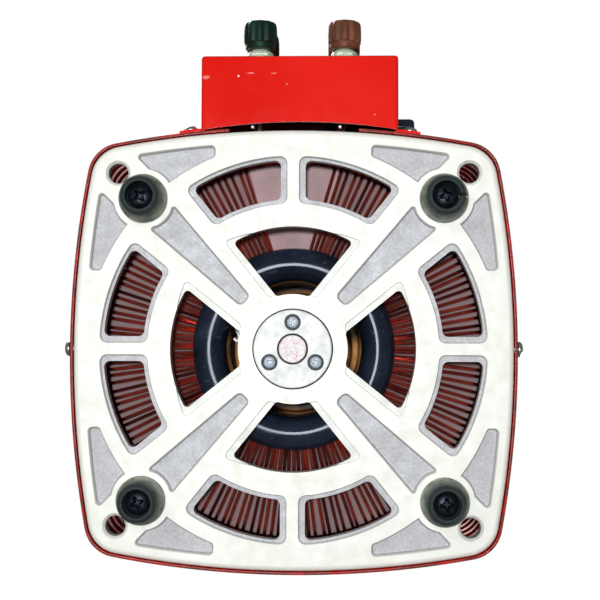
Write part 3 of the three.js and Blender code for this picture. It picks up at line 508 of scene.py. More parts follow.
def red_enamel():
    """Gloss red paint with a little orange peel, faint scratches and chips, worn metal and painted shade on the
    rims, and painted highlights on the cut edges.
    """
    made = Finish("red_enamel", specular_ior_level=0.3)
    red = made.mix(made.patches(60, 2.0, 0.35, 0.65), (0.7, 0.01, 0.005), (0.78, 0.018, 0.012))
    scratch = made.ranged(made.noise(4, 2.0, (0.12, 1.0, 1.0), 0.4), 0.71, 0.75, 0.0, 0.25)
    where = made.patches(26, 2.0, 0.52, 0.6)
    colour = made.mix(made.math("MULTIPLY", scratch, where), red, (0.86, 0.5, 0.42))
    for x, y, radius, strength, across in PAINT_CHIPS:
        spot = made.near((AXIS_X + x, AXIS_Y + y, BOX_UNDERSIDE), radius, across)
        colour = made.mix(made.math("MULTIPLY", spot, strength), colour, (0.95, 0.62, 0.55))
    # Painted shade: the cover's lower rim is painted near black in patches, partly as worn metal and partly as
    # shade.
    rim = made.ranged(made.height(), 0.01245, 0.0126, 1.0, 0.0)
    rim_chips_and_shade = made.math("MULTIPLY", rim, made.patches(7, 5.0, 0.35, 0.56, 0.45, 0.95))
    worn_metal_and_shade = made.mix(made.noise(1.2, 3.0), (0.03, 0.004, 0.003), (0.22, 0.08, 0.06))
    colour = made.mix(rim_chips_and_shade, colour, worn_metal_and_shade)
    # Painted highlight: the cut edges of the sheet are painted near white, partly as worn metal and partly as
    # highlight.
    edge = made.math("MULTIPLY", made.attribute("sheared_edge_highlight"), made.patches(3, 3.0, 0.3, 0.6, 0.6, 1.0))
    made.set("Base Color", made.mix(edge, colour, (1.0, 0.93, 0.9)))
    made.set("Roughness", made.patches(5, 4.0, 0.3, 0.7, 0.09, 0.16))
    made.bump(made.noise(1.6, 2.0), 0.12, 0.08)
    return made.material


def dusty_rubber():
    """Black rubber. Its sides have a grey-olive bloom of dust, which the tip's wear has kept off."""
    made = Finish("dusty_rubber", specular_ior_level=0.35)
    bloom = made.attribute("bloom")
    uneven = made.patches(5, 5.0, 0.3, 0.62, 0.25, 1.0)
    dust = made.mix(made.noise(1.3, 3.0), (0.34, 0.38, 0.3), (0.58, 0.62, 0.52))
    black = made.mix(made.noise(2.2, 4.0), (0.014, 0.022, 0.022), (0.04, 0.054, 0.052))
    made.set("Base Color", made.mix(made.math("MULTIPLY", bloom, uneven), black, dust))
    made.set("Roughness", made.patches(3, 3.0, 0.3, 0.7, 0.5, 0.75))
    made.bump(made.noise(0.6, 3.0), 0.3, 0.1)
    return made.material


def enamelled_wire():
    """Each turn has its own brightness, from the mesh, which also carries painted shade, and uneven streaks along
    it. Enamel over copper shines red.
    """
    made = Finish("enamelled_wire", coat_weight=0.5, coat_roughness=0.14)
    # Painted shade: the mesh's values darken the sunk turns and the outer bends, besides their random variation.
    tone_and_shade = made.attribute("tone_and_shade")
    red = made.mix(tone_and_shade, (0.07, 0.006, 0.008), (0.95, 0.12, 0.07))
    patch = made.patches(9, 4.0, 0.46, 0.7)
    made.set("Base Color", made.mix(made.math("MULTIPLY", patch, 0.45), red, (0.2, 0.05, 0.055)))
    made.set("Metallic", 0.95)
    made.set("Roughness", made.patches(4, 3.0, 0.3, 0.7, 0.26, 0.4))
    made.bump(made.noise(1.1, 3.0), 0.2, 0.08)
    return made.material


def woven_paper():
    """Mauve pressboard with the fine weave of its backing cloth, and painted shade where the turns cover it."""
    made = Finish("woven_paper", roughness=0.85, sheen_weight=0.15)
    waves = []
    for direction in ("X", "Y"):
        inputs = {"Vector": made.place, "Scale": 520.0, "Distortion": 0.6, "Detail": 1.0}
        waves.append(made.node("ShaderNodeTexWave", inputs, bands_direction=direction).outputs["Fac"])
    weave = made.math("MULTIPLY", *waves)
    base = made.mix(made.patches(11, 4.0, 0.3, 0.7), (0.4, 0.275, 0.285), (0.52, 0.375, 0.39))
    woven = made.mix(made.math("MULTIPLY", weave, 0.5), base, (0.17, 0.11, 0.12))
    # Painted shade: the paper under the turns is darkened, more towards the bore.
    inward = made.ranged(made.from_axis(), 0.046, 0.062, 1.0, 0.75)
    shade = made.math("MULTIPLY", made.attribute("wound"), inward)
    made.set("Base Color", made.mix(shade, woven, (0.15, 0.11, 0.11)))
    made.bump(weave, 0.5, 0.12)
    made.bump(made.noise(2.5, 3.0), 0.3, 0.2)
    return made.material


def black_gloss():
    """Black phenolic moulding with hairline scuffs and a bluish bloom."""
    made = Finish("black_gloss", specular_ior_level=0.1, coat_weight=0.8, coat_tint=(0.75, 0.85, 1.0, 1.0))
    black = made.mix(made.patches(14, 4.0, 0.35, 0.7), (0.007, 0.01, 0.016), (0.02, 0.027, 0.045))
    scuff = made.ranged(made.noise(2.5, 2.0, (1, 1, 0.2)), 0.66, 0.72, 0.0, 0.35)
    made.set("Base Color", made.mix(scuff, black, (0.1, 0.11, 0.13)))
    made.set("Roughness", made.patches(16, 3.0, 0.35, 0.65, 0.24, 0.46))
    made.set("Coat Roughness", made.patches(24, 3.0, 0.4, 0.62, 0.1, 0.24))
    made.bump(made.noise(3.0, 3.0), 0.08, 0.1)
    return made.material


def laminate():
    """Orange-brown cloth laminate, with its layers showing across its height."""
    made = Finish("laminate")
    layers = made.noise(1.0, 3.0, (0.15, 0.15, 3.0))
    brown = made.mix(made.ranged(layers, 0.35, 0.65), (0.34, 0.13, 0.03), (0.56, 0.26, 0.07))
    aged = made.patches(9, 3.0, 0.5, 0.75, 0, 0.5)
    made.set("Base Color", made.mix(aged, brown, (0.2, 0.07, 0.02)))
    made.set("Roughness", made.patches(3, 3.0, 0.3, 0.7, 0.4, 0.6))
    made.bump(layers, 0.25, 0.08)
    return made.material


def moulded(name, dark, light):
    """A moulded cap: gloss plastic with a slight streak of the regrind and worn flutes."""
    made = Finish(name, coat_weight=0.2, coat_roughness=0.15)
    colour = made.mix(made.ranged(made.noise(5, 4.0, (1, 0.35, 1)), 0.35, 0.7), dark, light)
    made.set("Base Color", colour)
    made.set("Roughness", made.patches(1.5, 3.0, 0.3, 0.7, 0.3, 0.5))
    made.bump(made.noise(0.5, 3.0), 0.2, 0.06)
    return made.material


def clear_pane():
    made = Finish("clear_pane", specular_ior_level=0.6)
    made.set("Base Color", (0.9, 0.94, 0.95, 1.0))
    made.set("Roughness", made.patches(8, 4.0, 0.4, 0.7, 0.03, 0.09))
    made.set("Alpha", 0.16)
    return made.material


STEEL_LINES = (1.0, 1.0, 0.12)
# The slot and the material of each look
LOOKS = {
    "cast": ("cast_aluminium", cast_aluminium()),
    "turned": ("cast_aluminium", turned_aluminium()),
    "shaft": ("bright_steel", speckled_steel()),
    "red": ("red_paint", red_enamel()),
    "rubber": ("foot_rubber", dusty_rubber()),
    "wire": ("enamelled_wire", enamelled_wire()),
    "paper": ("insulation_paper", woven_paper()),
    "black": ("black_moulding", black_gloss()),
    "laminate": ("phenolic", laminate()),
    "green": ("post_green", moulded("green_moulding", (0.001, 0.014, 0.008), (0.004, 0.036, 0.02))),
    "brown": ("post_brown", moulded("brown_moulding", (0.085, 0.035, 0.016), (0.2, 0.06, 0.028))),
    "pane": ("clear_window", clear_pane()),
    "steel": (
        "bright_steel",
        plain("bright_steel", (0.5, 0.52, 0.54), (0.72, 0.74, 0.76), 0.3, 1.0, 3.0, stretch=STEEL_LINES),
    ),
    "zinc": ("bright_steel", plain("zinc_plate", (0.5, 0.56, 0.5), (0.78, 0.82, 0.76), 0.28, 0.9, 1.6)),
    "dark_screw": (
        "dark_screw", plain("black_screw", (0.004, 0.005, 0.01), (0.022, 0.024, 0.036), 0.36, 0.6, 2.0),
    ),
    "nickel": ("brass", plain("nickel_plate", (0.5, 0.66, 0.46), (0.86, 0.93, 0.78), 0.3, 0.4, 1.6)),
    "bright_screw": (
        "bright_steel", plain("bright_screw", (0.5, 0.57, 0.64), (0.85, 0.9, 0.96), 0.36, 0.35, 1.2),
    ),
    # Painted shade: near black, for the washers under the flange screws.
    "washer_for_shade": (
        "dark_screw", plain("washer_painted_shade", (0.03, 0.035, 0.045), (0.09, 0.1, 0.12), 0.4, 0.7, 1.0),
    ),
    "brass": ("brass", plain("brass", (0.5, 0.33, 0.1), (0.72, 0.52, 0.2), 0.3, 1.0, 3.0)),
    "carbon": ("carbon", plain("carbon", (0.02, 0.02, 0.022), (0.06, 0.06, 0.064), 0.6, 0.1, 1.5, 0.3, 0.3)),
    "core": (
        "core_steel",
        plain("strip_steel", (0.28, 0.29, 0.31), (0.5, 0.51, 0.53), 0.4, 0.9, 0.6, stretch=(0.1, 0.1, 4.0)),
    ),
    "arm": (
        "cast_aluminium", plain("arm_casting", (0.55, 0.55, 0.54), (0.7, 0.7, 0.69), 0.5, 0.7, 3.0, 0.6, 0.3),
    ),
    "dial": ("dial_white", plain("dial_enamel", (0.72, 0.72, 0.7), (0.8, 0.8, 0.78), 0.4, 0.0, 12.0)),
    "print": ("needle_black", plain("print_black", (0.008, 0.008, 0.008), (0.02, 0.02, 0.02), 0.5, 0.0, 2.0)),
    "pointer": ("dial_white", plain("pointer_white", (0.75, 0.75, 0.73), (0.85, 0.85, 0.83), 0.45, 0.0, 2.0)),
    "lead": (
        "lead_brown", plain("lead_sleeve", (0.12, 0.02, 0.015), (0.26, 0.05, 0.03), 0.5, 0.0, 3.0, 0.5, 0.3),
    ),
    "lead_black": (
        "lead_black", plain("black_sleeve", (0.01, 0.01, 0.011), (0.03, 0.03, 0.033), 0.5, 0.0, 3.0, 0.5, 0.3),
    ),
    "sleeving": (
        "dial_white", plain("white_sleeving", (0.7, 0.69, 0.62), (0.85, 0.84, 0.8), 0.6, 0.0, 1.5, 0.4, 0.3),
    ),
    "fuse_glass": ("clear_window", plain("fuse_glass", (0.7, 0.75, 0.76), (0.82, 0.86, 0.88), 0.1, 0.0, 3.0)),
}


def dressed(obj, look):
    slot, material = LOOKS[look]
    obj.data.materials.clear()
    obj.data.materials.append(material)


def finished(obj, look, body="frame", stands_for=None):
    """Gives a piece its material, and lets it ride on its body in place of its CAD node."""
    dressed(obj, look)
    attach(obj, body)
    if stands_for:
        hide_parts(stands_for)
    return obj


def keep(look, *nodes):
    """CAD nodes whose own shape is right, in a better material."""
    for node in nodes:
        dressed(frame["nodes"][node], look)


# ---- Base ----------------------------------------------------------------------------------------

BASE_HALF, BASE_CORNER = 88.7, 13.6
BASE_LOW = box_mm("base")[0].z
HUB_TOP = box_mm("base")[1].z
BASE_TOP = BASE_LOW + 6
RIM_RISE, RIM_REACH = 1.5, 2.2
POCKET_DEPTH, LEDGE_DEPTH, SHALLOW_LEDGE = 2.3, 1.5, 0.7
FOOT_OFFSET = 60.7
HOLE_OFFSET = 71.1
WEB_HALF, INNER_WEB_HALF, WEB_FLARE = 9.0, 8.1, 0.108
SPOKE_HALF = 5.0
RING_R = 84.0
BOSS_R = 12.2


def web_edge(r, half):
    """The angle from a diagonal spoke's middle to its edge, at radius r."""
    return math.atan(WEB_FLARE) + math.asin(half / (r * math.hypot(1, WEB_FLARE)))


def outer_window(side=0.0, inner=0.0, outer=0.0, corner=2.4):
    """The window right of the +Y spoke, widened at its sides, its inner arc and its outer arc."""
    low, high = 60.6 - inner, 76.8 + outer
    spoke = lambda r: math.acos((SPOKE_HALF - side) / r)
    web = lambda r: math.pi / 4 + web_edge(r, WEB_HALF - side)
    outer_arc = arc(0, 0, high, web(high), spoke(high), 14)
    inner_arc = arc(0, 0, low, spoke(low), web(low), 12)
    return with_corners(outer_arc, inner_arc, corner)


def inner_window(side=0.0, inner=0.0, outer=0.0, corner=1.9, flare=0.0):
    """The window about +Y, widened likewise. Its outer arc flares out towards its ends."""
    low, high = 22.1 - inner, 49.5 + outer
    left = lambda r: 3 * math.pi / 4 - web_edge(r, INNER_WEB_HALF - side)
    outer_arc = []
    for k in range(25):
        r = high + flare * max(0, abs(k / 12 - 1) - 0.35) / 0.65
        outer_arc += arc(0, 0, r, left(r) + (math.pi - 2 * left(r)) * k / 24, 0, 1)[:1]
    inner_arc = arc(0, 0, low, math.pi - left(low), left(low), 8)
    return with_corners(outer_arc, inner_arc, corner)


def with_corners(first, second, r):
    """Two arcs joined into a loop, with its four corners rounded."""
    return rounded_loop([*ends_marked(first, r), *ends_marked(second, r)])


def ends_marked(line, r):
    return [(*p, r if i in (0, len(line) - 1) else 0) for i, p in enumerate(line)]


def rounded_loop(loop, steps=5):
    """A loop with its marked corners rounded, and without the plain points that would crowd them."""
    return filleted([p for i, p in enumerate(loop) if p[2] or not near_corner(loop, i, 3.2)], steps)


def near_corner(loop, i, reach):
    """Whether a plain point is so close to a rounded corner that the corner's arc would pass it."""
    here = Vector(loop[i][:2])
    return any(q[2] and (Vector(q[:2]) - here).length < reach for q in loop)


def side_pocket():
    """The pocket between the rim, the ring and a foot's boss, right of the +Y spoke."""
    start, web, corner_x = 31.6, 14.1, 64.5
    rim = lambda x: BASE_HALF - 4.8 - x**2 / (2 * SIDE_RADIUS)
    ring_start = math.acos(start / RING_R) - 0.03
    ring_end = 0.93
    top = (FOOT_OFFSET - 2, FOOT_OFFSET - 2 + web)
    boss_end = math.atan2(top[1] - FOOT_OFFSET, top[0] - FOOT_OFFSET)
    meet = (RING_R * math.cos(ring_end) - FOOT_OFFSET, RING_R * math.sin(ring_end) - FOOT_OFFSET)
    boss = arc(FOOT_OFFSET, FOOT_OFFSET, BOSS_R, boss_end, math.atan2(meet[1], meet[0]), 8)
    ring = arc(0, 0, RING_R, ring_end + 0.05, ring_start, 8)
    loop = [(start, RING_R * math.sin(math.acos(start / RING_R)), 1.6), (start, rim(start), 1.8)]
    loop += [(start + (corner_x - start) * k / 6, rim(start + (corner_x - start) * k / 6)) for k in range(1, 6)]
    loop += [(corner_x, rim(corner_x), 1.8)]
    loop += [(*p, 1.2 if i == 0 else 0) for i, p in enumerate(boss)]
    loop += ring
    return filleted(loop, 5)


def spoke_pocket():
    """The wedge-shaped pocket in a diagonal spoke, laid along +X."""
    foot = FOOT_OFFSET * math.sqrt(2)
    half_in, half_out = 2.9, 6.9
    opening = math.asin(half_out / BOSS_R)
    boss = arc(foot, 0, BOSS_R, math.pi + opening, math.pi - opening, 8)
    return rounded_loop([(27, -half_in, 2.3), *ends_marked(boss, 1.5), (27, half_in, 2.3)], 6)


def base():
    low = BASE_LOW - 2
    outline = bulged_square(BASE_HALF, BASE_CORNER)
    made = bmesh.new()
    bends = [math.pi / 2 - k * math.pi / 8 for k in range(5)]
    levels = [(BASE_LOW + RIM_RISE * (1 - math.sin(t)), RIM_REACH * (1 - math.cos(t))) for t in bends]
    add_rings(made, [[(x, y, z) for x, y in grown(outline, -back)] for z, back in [*levels, (BASE_TOP, 0.0)]])
    plate = piece("base_casting", made)
    raised = [prism("hub", circle(19.5, sides=72), BASE_TOP - 1, HUB_TOP)]
    raised += [
        prism("boss", circle(8, sx * FOOT_OFFSET, sy * FOOT_OFFSET, 40), BASE_TOP - 1, BASE_TOP + 5)
        for sx, sy in CORNERS.values()
    ]
    combined(plate, raised, "UNION")
    through = bmesh.new()
    recess = bmesh.new()
    ledge = outer_window(2.5, 1.7, 1.3, 3.2)
    inner_ledge = inner_window(2.7, -0.6, -1.2, 2.2, 3.4)
    # Each recess: its outline, how far its wall leans in, and its depth
    recesses = [(outline, 0.3, LEDGE_DEPTH) for outline in (ledge, mirrored(ledge))]
    recesses += [(inner_ledge, 0.3, SHALLOW_LEDGE)]
    pockets = [side_pocket(), mirrored(side_pocket()), turned(spoke_pocket(), 45)]
    recesses += [(pocket, 0.7, POCKET_DEPTH) for pocket in pockets]
    for a in QUARTERS:
        for outline in (outer_window(), mirrored(outer_window()), inner_window()):
            spot = turned(outline, a)
            add_prism(through, spot, spot, low, BASE_TOP + 1)
        for outline, lean, depth in recesses:
            spot = turned(outline, a)
            add_prism(recess, grown(spot, 0.9), grown(spot, -lean), low, BASE_LOW + depth)
    bore = circle(11.3, sides=72)
    add_prism(through, bore, bore, low, HUB_TOP + 1)
    seat = circle(FLANGE_R + 0.6, sides=96)
    add_prism(recess, seat, seat, low, BASE_LOW + 2.4)
    for sx, sy in CORNERS.values():
        for r, x, top in ((4.1, HOLE_OFFSET, BASE_TOP + 1), (2.7, FOOT_OFFSET, BASE_TOP + 6)):
            spot = circle(r, sx * x, sy * x, 36)
            add_prism(through, spot, spot, low, top)
        wide, narrow = [circle(r, sx * HOLE_OFFSET, sy * HOLE_OFFSET, 36) for r in (7.2, 4.0)]
        add_prism(recess, wide, narrow, low, BASE_LOW + 1.2)
    cut(plate, piece("through", through))
    cut(plate, piece("recess", recess))
    bevelled(plate, 0.45, 2, 34)
    return place(plate, AXIS)


finished(base(), "cast", stands_for="base")

# ---- Feet and screws -----------------------------------------------------------------------------


def cross_recess(r, depth):
    """The cutter of a Phillips recess at the top of a head, reaching down from z = 0."""
    made = bmesh.new()
    arm = r * 0.22
    quarter = [(r, -arm), (r, arm), (arm * 1.5, arm * 1.5)]
    rings = [[(x * k, y * k, z) for a in QUARTERS for x, y in turned(quarter, a)]
             for z, k in ((0.4, 1.04), (-depth * 0.25, 0.94), (-depth, 0.42))]
    add_rings(made, rings)
    return piece("recess", made)


def screw(name, r, head, shank_r, shank):
    """A pan-head Phillips screw along -Z, whose head's underside is at z = 0."""
    dome = [(0, head), (r * 0.3, head), (r * 0.62, head * 0.95), (r * 0.86, head * 0.74), (r * 0.98, head * 0.4)]
    rim = [(r, head * 0.15), (r * 0.97, 0), (shank_r, 0), (shank_r, -shank), (0, -shank)]
    made = lathe(name, (dome + rim)[::-1], 40)
    cutter = place(cross_recess(r * 0.58, head * 0.85), (0, 0, head))
    return bevelled(cut(made, cutter), 0.08, 1, 50)


def foot(name, node, slit):
    low, high = box_mm(node)
    r_top, r_tip, r_recess, recess, top = (high.x - low.x) / 2, 7.4, 5.5, 4.6, high.z
    outer = [(r_recess, 0.3, 0.3), (r_recess + 0.4, 0, 0.3), (r_tip - 0.9, 0, 0.7), (r_tip + 0.1, 1.0, 0.8)]
    sides = [(r_top - 0.2, top - 3.2, 1.2), (r_top, top - 2.2, 1.0), (r_top, top, 0.4), (2.7, top)]
    profile = filleted(outer + sides + [(2.7, recess), (r_recess, recess, 0.5)], 4)
    made = lathe(name, profile, 72)
    if slit:
        cut(made, prism("slit", rounded_box(r_recess - 1, r_top + 1, -0.65, 0.65), -1, 7.2))
    bloom = made.data.attributes.new("bloom", "FLOAT", "POINT")
    for vert, value in zip(made.data.vertices, bloom.data):
        value.value = min(max((vert.co.xy.length / MM - 7.6) / 0.7, 0), 1)
    return place(made, (*centre_mm(node).xy, 0))


for corner in CORNERS:
    node = "foot_" + corner
    finished(foot(node + "_rubber", node, corner == "front_right"), "rubber", stands_for=node)
    screw_node = "foot_screw_" + corner
    head_height = 2.4
    head = screw(node + "_screw", 5.1, head_height, 2.4, 19)
    at = (*centre_mm(screw_node).xy, box_mm(screw_node)[0].z + head_height)
    place(head, at, Matrix.Rotation(0.35 + sum(map(ord, corner)), 3, "Z") @ DOWN)
    finished(head, "dark_screw", stands_for=screw_node)

# ---- Bearing flange and shaft --------------------------------------------------------------------


def bearing_flange():
    low, high = box_mm("bearing_flange")
    seat = BASE_LOW + 2.1
    r = (high.x - low.x) / 2
    bore = (SHAFT_HIGH.x - SHAFT_LOW.x) / 2 + 0.25
    profile = [(bore, low.z + 0.3), (bore + 0.4, low.z), (r - 0.3, low.z, 0.3), (r, low.z + 0.5, 0.2), (r, seat)]
    profile += [(7.6, seat), (7.6, high.z), (bore, high.z)]
    made = lathe("bearing_flange_disc", filleted(profile, 3), 128)
    wells = bmesh.new()
    for a in (-90, 30, 150):
        x, y = 10.7 * math.cos(math.radians(a)), 10.7 * math.sin(math.radians(a))
        add_prism(wells, circle(3.4, x, y, 40), circle(3.2, x, y, 40), low.z - 1, low.z + 2)
    cut(made, piece("wells", wells))
    return place(bevelled(made, 0.15, 2, 50), AXIS)


finished(bearing_flange(), "turned", stands_for="bearing_flange")
for i, turn in enumerate((0.3, 1.1, 0.7)):
    node = f"flange_screw_{i + 1}"
    x, y, bottom = *centre_mm(node).xy, box_mm(node)[0].z
    made = screw(node + "_head", 2.35, 1.6, 1.3, 5)
    place(made, (x, y, bottom + 1.6), Matrix.Rotation(turn, 3, "Z") @ DOWN)
    finished(made, "bright_screw", stands_for=node)
    # Painted shade: a near-black washer under each head stands in for the shade round it in its counterbore.
    ring = filleted([(1.5, 0), (3.15, 0, 0.2), (3.15, 0.35, 0.2), (1.5, 0.35)], 2)
    finished(place(lathe(node + "_washer", ring, 40), (x, y, bottom + 1.2)), "washer_for_shade")


def shaft():
    r = (SHAFT_HIGH.x - SHAFT_LOW.x) / 2
    ends = [(0, 0), (r - 0.5, 0), (r, 0.4)]
    length = SHAFT_HIGH.z - SHAFT_LOW.z
    profile = ends + [(r, length - 0.6), (r - 0.6, length), (0, length)]
    return place(lathe("shaft_turned", profile, 64), (AXIS_X, AXIS_Y, SHAFT_LOW.z))


finished(shaft(), "shaft", "rotor", "shaft")

# ---- Coil ----------------------------------------------------------------------------------------

TURNS = 148
WIRE_R = 0.74
COIL_LOW, COIL_HIGH = box_mm("winding")
PAPER_LOW, PAPER_HIGH = box_mm("insulation_lower")
PAPER_OUT = (PAPER_HIGH.x - PAPER_LOW.x) / 2
PAPER_IN = 32.1
COIL_START, COIL_END = -90 + 12.6, 270 - 15.2
COIL_BEND = 3.4


def winding():
    """Real turns of wire round the insulated core. Those beside the gap lean over it towards the bore."""
    made = bmesh.new()
    tone_layer = made.verts.layers.float_color.new("tone_and_shade")
    bottom, top = COIL_LOW.z + WIRE_R + 0.4, COIL_HIGH.z - WIRE_R - 0.1
    inside, out = PAPER_IN - WIRE_R - 0.1, PAPER_OUT + WIRE_R + 0.12
    for i in range(TURNS):
        sunk = random.random() < 0.2
        low = bottom - (random.uniform(-0.1, 0.15) if sunk else random.uniform(0.3, 0.62))
        ends = [(inside, low), (out, low), (out, top), (inside, top)]
        loop = filleted([(*p, COIL_BEND) for p in ends], 5)
        lean = random.uniform(-0.3, 0.3)
        closing = 2.6 * (max(0, 1 - (TURNS - 1 - i) / 9) - max(0, 1 - i / 9))
        # Painted shade: a sunk turn, set back between its neighbours, is painted darker than a proud one.
        tone_and_shade = random.uniform(0.1, 0.4) if sunk else random.uniform(0.5, 1.0)
        a = math.radians(COIL_START + (COIL_END - COIL_START) * i / (TURNS - 1) + random.uniform(-0.25, 0.25))
        radial, across = Vector((math.cos(a), math.sin(a), 0)), Vector((-math.sin(a), math.cos(a), 0))
        rings, tones = [], []
        for k, (r, z) in enumerate(loop):
            before, after = Vector(loop[k - 1]), Vector(loop[(k + 1) % len(loop)])
            along = (after - before).normalized()
            normal = radial * along.y - Vector((0, 0, 1)) * along.x
            aside = closing * min(max((64 - r) / 22, 0), 1) + lean * (r - 55) / 20
            here = radial * r + Vector((0, 0, z)) + across * aside
            turns = [math.tau * s / 8 for s in range(8)]
            rings.append([here + (normal * math.cos(t) + across * math.sin(t)) * WIRE_R for t in turns])
            # Painted shade: the lower part of each turn's outer bend is dimmed to a tenth.
            under_bend = r > out - COIL_BEND and z < low + COIL_BEND
            tones += [tone_and_shade * (0.1 if under_bend else 1)] * 8
        first = len(made.verts)
        add_rings(made, rings, joined=True)
        made.verts.ensure_lookup_table()
        for vert, shade in zip(made.verts[first:], tones):
            vert[tone_layer] = (shade, shade, shade, 1.0)
    return place(piece("winding_turns", made), AXIS)


finished(winding(), "wire", stands_for="winding")


def paper_half(name, node, side):
    """One channel-shaped half of the core's insulation."""
    low, high = box_mm(node)
    out = (high.x - low.x) / 2
    near, far = (high.z, low.z) if side < 0 else (low.z, high.z)
    inner = lambda z: z - side * 1.6
    loop = [(PAPER_IN, far, 1.2), (out, far, 1.2), (out, near), (out - 1.6, near), (out - 1.6, inner(far))]
    loop += [(PAPER_IN + 1.6, inner(far)), (PAPER_IN + 1.6, near), (PAPER_IN, near)]
    made = lathe(name, filleted(loop, 4), 256)
    mark_faces(made, "wound", lambda at, normal: abs(math.degrees(math.atan2(at.x, -at.y))) > 14)
    return place(made, AXIS)


for side, node in ((-1, "insulation_lower"), (1, "insulation_upper")):
    finished(paper_half(node + "_paper", node, side), "paper", stands_for=node)


def lower_cup():
    """The bell-mouthed moulding under the coil, whose spigot stands in the coil's bore."""
    low, high = box_mm("lower_cup")
    bore, spigot, crest, out = 28.0, PAPER_IN - 2.2, 34.6, (high.x - low.x) / 2
    seat = COIL_LOW.z - 0.3
    lip = seat - low.z
    mouth = []
    for k in range(33):
        t = math.pi * k / 32
        reach, depth = (crest - bore, lip + 4) if t < math.pi / 2 else (out - crest, lip)
        mouth.append((crest - reach * math.cos(t), low.z + depth * (1 - math.sin(t))))
    loop = [(bore, high.z, 0.4), *mouth, (spigot, seat), (spigot, high.z, 0.4)]
    return place(lathe("lower_cup_moulding", filleted(loop, 4), 160), AXIS)


finished(lower_cup(), "black", stands_for="lower_cup")


def upper_clamp():
    low, high = box_mm("upper_clamp")
    out = (high.x - low.x) / 2
    bore, spigot, seat = 24.8, 27.4, COIL_HIGH.z + 0.3
    loop = [(bore, low.z, 0.5), (spigot, low.z, 0.5), (spigot, seat, 0.4), (out, seat, 0.5), (out, seat + 3, 0.8)]
    loop += [(out - 3, seat + 4.6, 2), (30, high.z, 1), (9.4, high.z), (9.4, high.z - 6), (bore, high.z - 6, 1)]
    return place(lathe("upper_clamp_laminate", filleted(loop, 4), 96), AXIS)


finished(upper_clamp(), "laminate", stands_for="upper_clamp")
keep("core", "core")
keep("zinc", "tie_bolt_1", "tie_bolt_2", "tie_bolt_3")
keep("brass", "upper_bearing", "slip_ring", "pickup")
keep("carbon", "carbon_brush")
keep("arm", "brush_arm")


def brush_spring():
    """The brush's coil spring."""
    low, high = box_mm("brush_spring")
    centre, wire, turns, steps = (low + high) / 2, 0.36, 6, 20
    r = (high.x - low.x) / 2 - wire
    path = []
    for k in range(turns * steps + 1):
        a = math.tau * k / steps
        z = low.z + wire + (high.z - low.z - 2 * wire) * k / (turns * steps)
        path.append((centre.x + r * math.cos(a), centre.y + r * math.sin(a), z))
    made = finished(tube("brush_spring_coil", path, wire, 8), "steel", "rotor", "brush_spring")
    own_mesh(made)


brush_spring()

# ---- Cover ---------------------------------------------------------------------------------------

COVER_LOW, COVER_HIGH = box_mm("cover")
COVER_HALF, COVER_CORNER, SHEET = (COVER_HIGH.x - COVER_LOW.x) / 2, 14.0, 1.1
EDGE = 8.0


def cover_skin(name, inset, low, high, edge):
    """A closed solid of the cover's outline, rounded over at its top."""
    made = bmesh.new()
    outline = bulged_square(COVER_HALF - inset, COVER_CORNER - inset, SIDE_RADIUS - inset, 24)
    levels = [(low, 0.0), (low + (high - low) * 0.5, 0.0)]
    turns = [k * math.pi / 16 for k in range(9)]
    levels += [(high - edge + edge * math.sin(t), edge * (1 - math.cos(t))) for t in turns]
    rings = []
    for z, back in levels:
        scale = grown(outline, -back) if back else outline
        rings.append([(x, y, z) for x, y in scale])
    add_rings(made, rings)
    return piece(name, made)


def wall_y(x, out=0.0):
    """Where the front wall's outer face is, out from it by a distance."""
    return -(math.sqrt((SIDE_RADIUS + out) ** 2 - x**2) - (SIDE_RADIUS - COVER_HALF))


def cover():
    shell = cover_skin("cover_drawn", 0, COVER_LOW.z, COVER_HIGH.z, EDGE)
    hollow = cover_skin("hollow", SHEET, COVER_LOW.z - 5, COVER_HIGH.z - SHEET, EDGE - SHEET)
    cut(shell, hollow)
    slots = bmesh.new()
    for level in range(5):
        z = 54 + 10 * level
        outline = rounded_box(-17, 17, z - 1.8, z + 1.8, 1.79, 6)
        for a in (45, 135, 225, 315):
            c, s = math.cos(math.radians(a)), math.sin(math.radians(a))
            rings = [[(c * d - s * u, s * d + c * u, v) for u, v in outline] for d in (60, 130)]
            add_rings(slots, rings)
    notch = prism("notch", rounded_box(-26, 26.5, -100, -70), COVER_LOW.z - 3, 62)
    bore = prism("bore", circle(11.7, sides=64), COVER_HIGH.z - 8, COVER_HIGH.z + 4)
    cut(shell, piece("slots", slots), notch, bore)
    bevelled(shell, 0.3, 2, 50)
    # Marks the lower faces of the slots' lips, for a painted highlight.
    mark_faces(shell, "sheared_edge_highlight", lambda at, normal: 50 < at.z < 98 and normal.z < -0.6 and at.xy.length > 95)
    return place(shell, AXIS)


finished(cover(), "red", stands_for="cover")

# ---- Terminal box --------------------------------------------------------------------------------

BOX_LOW, BOX_HIGH = box_mm("terminal_box")
BOX_X = (BOX_LOW.x + BOX_HIGH.x) / 2
BOX_HALF = 40.15
BOX_FRONT = BOX_LOW.y - AXIS_Y
BOX_SHEET = 1.2
# The arc its back edges follow: radius, and how far behind the axis it is at the middle
REAR_R, REAR_Y = 243, 92.2


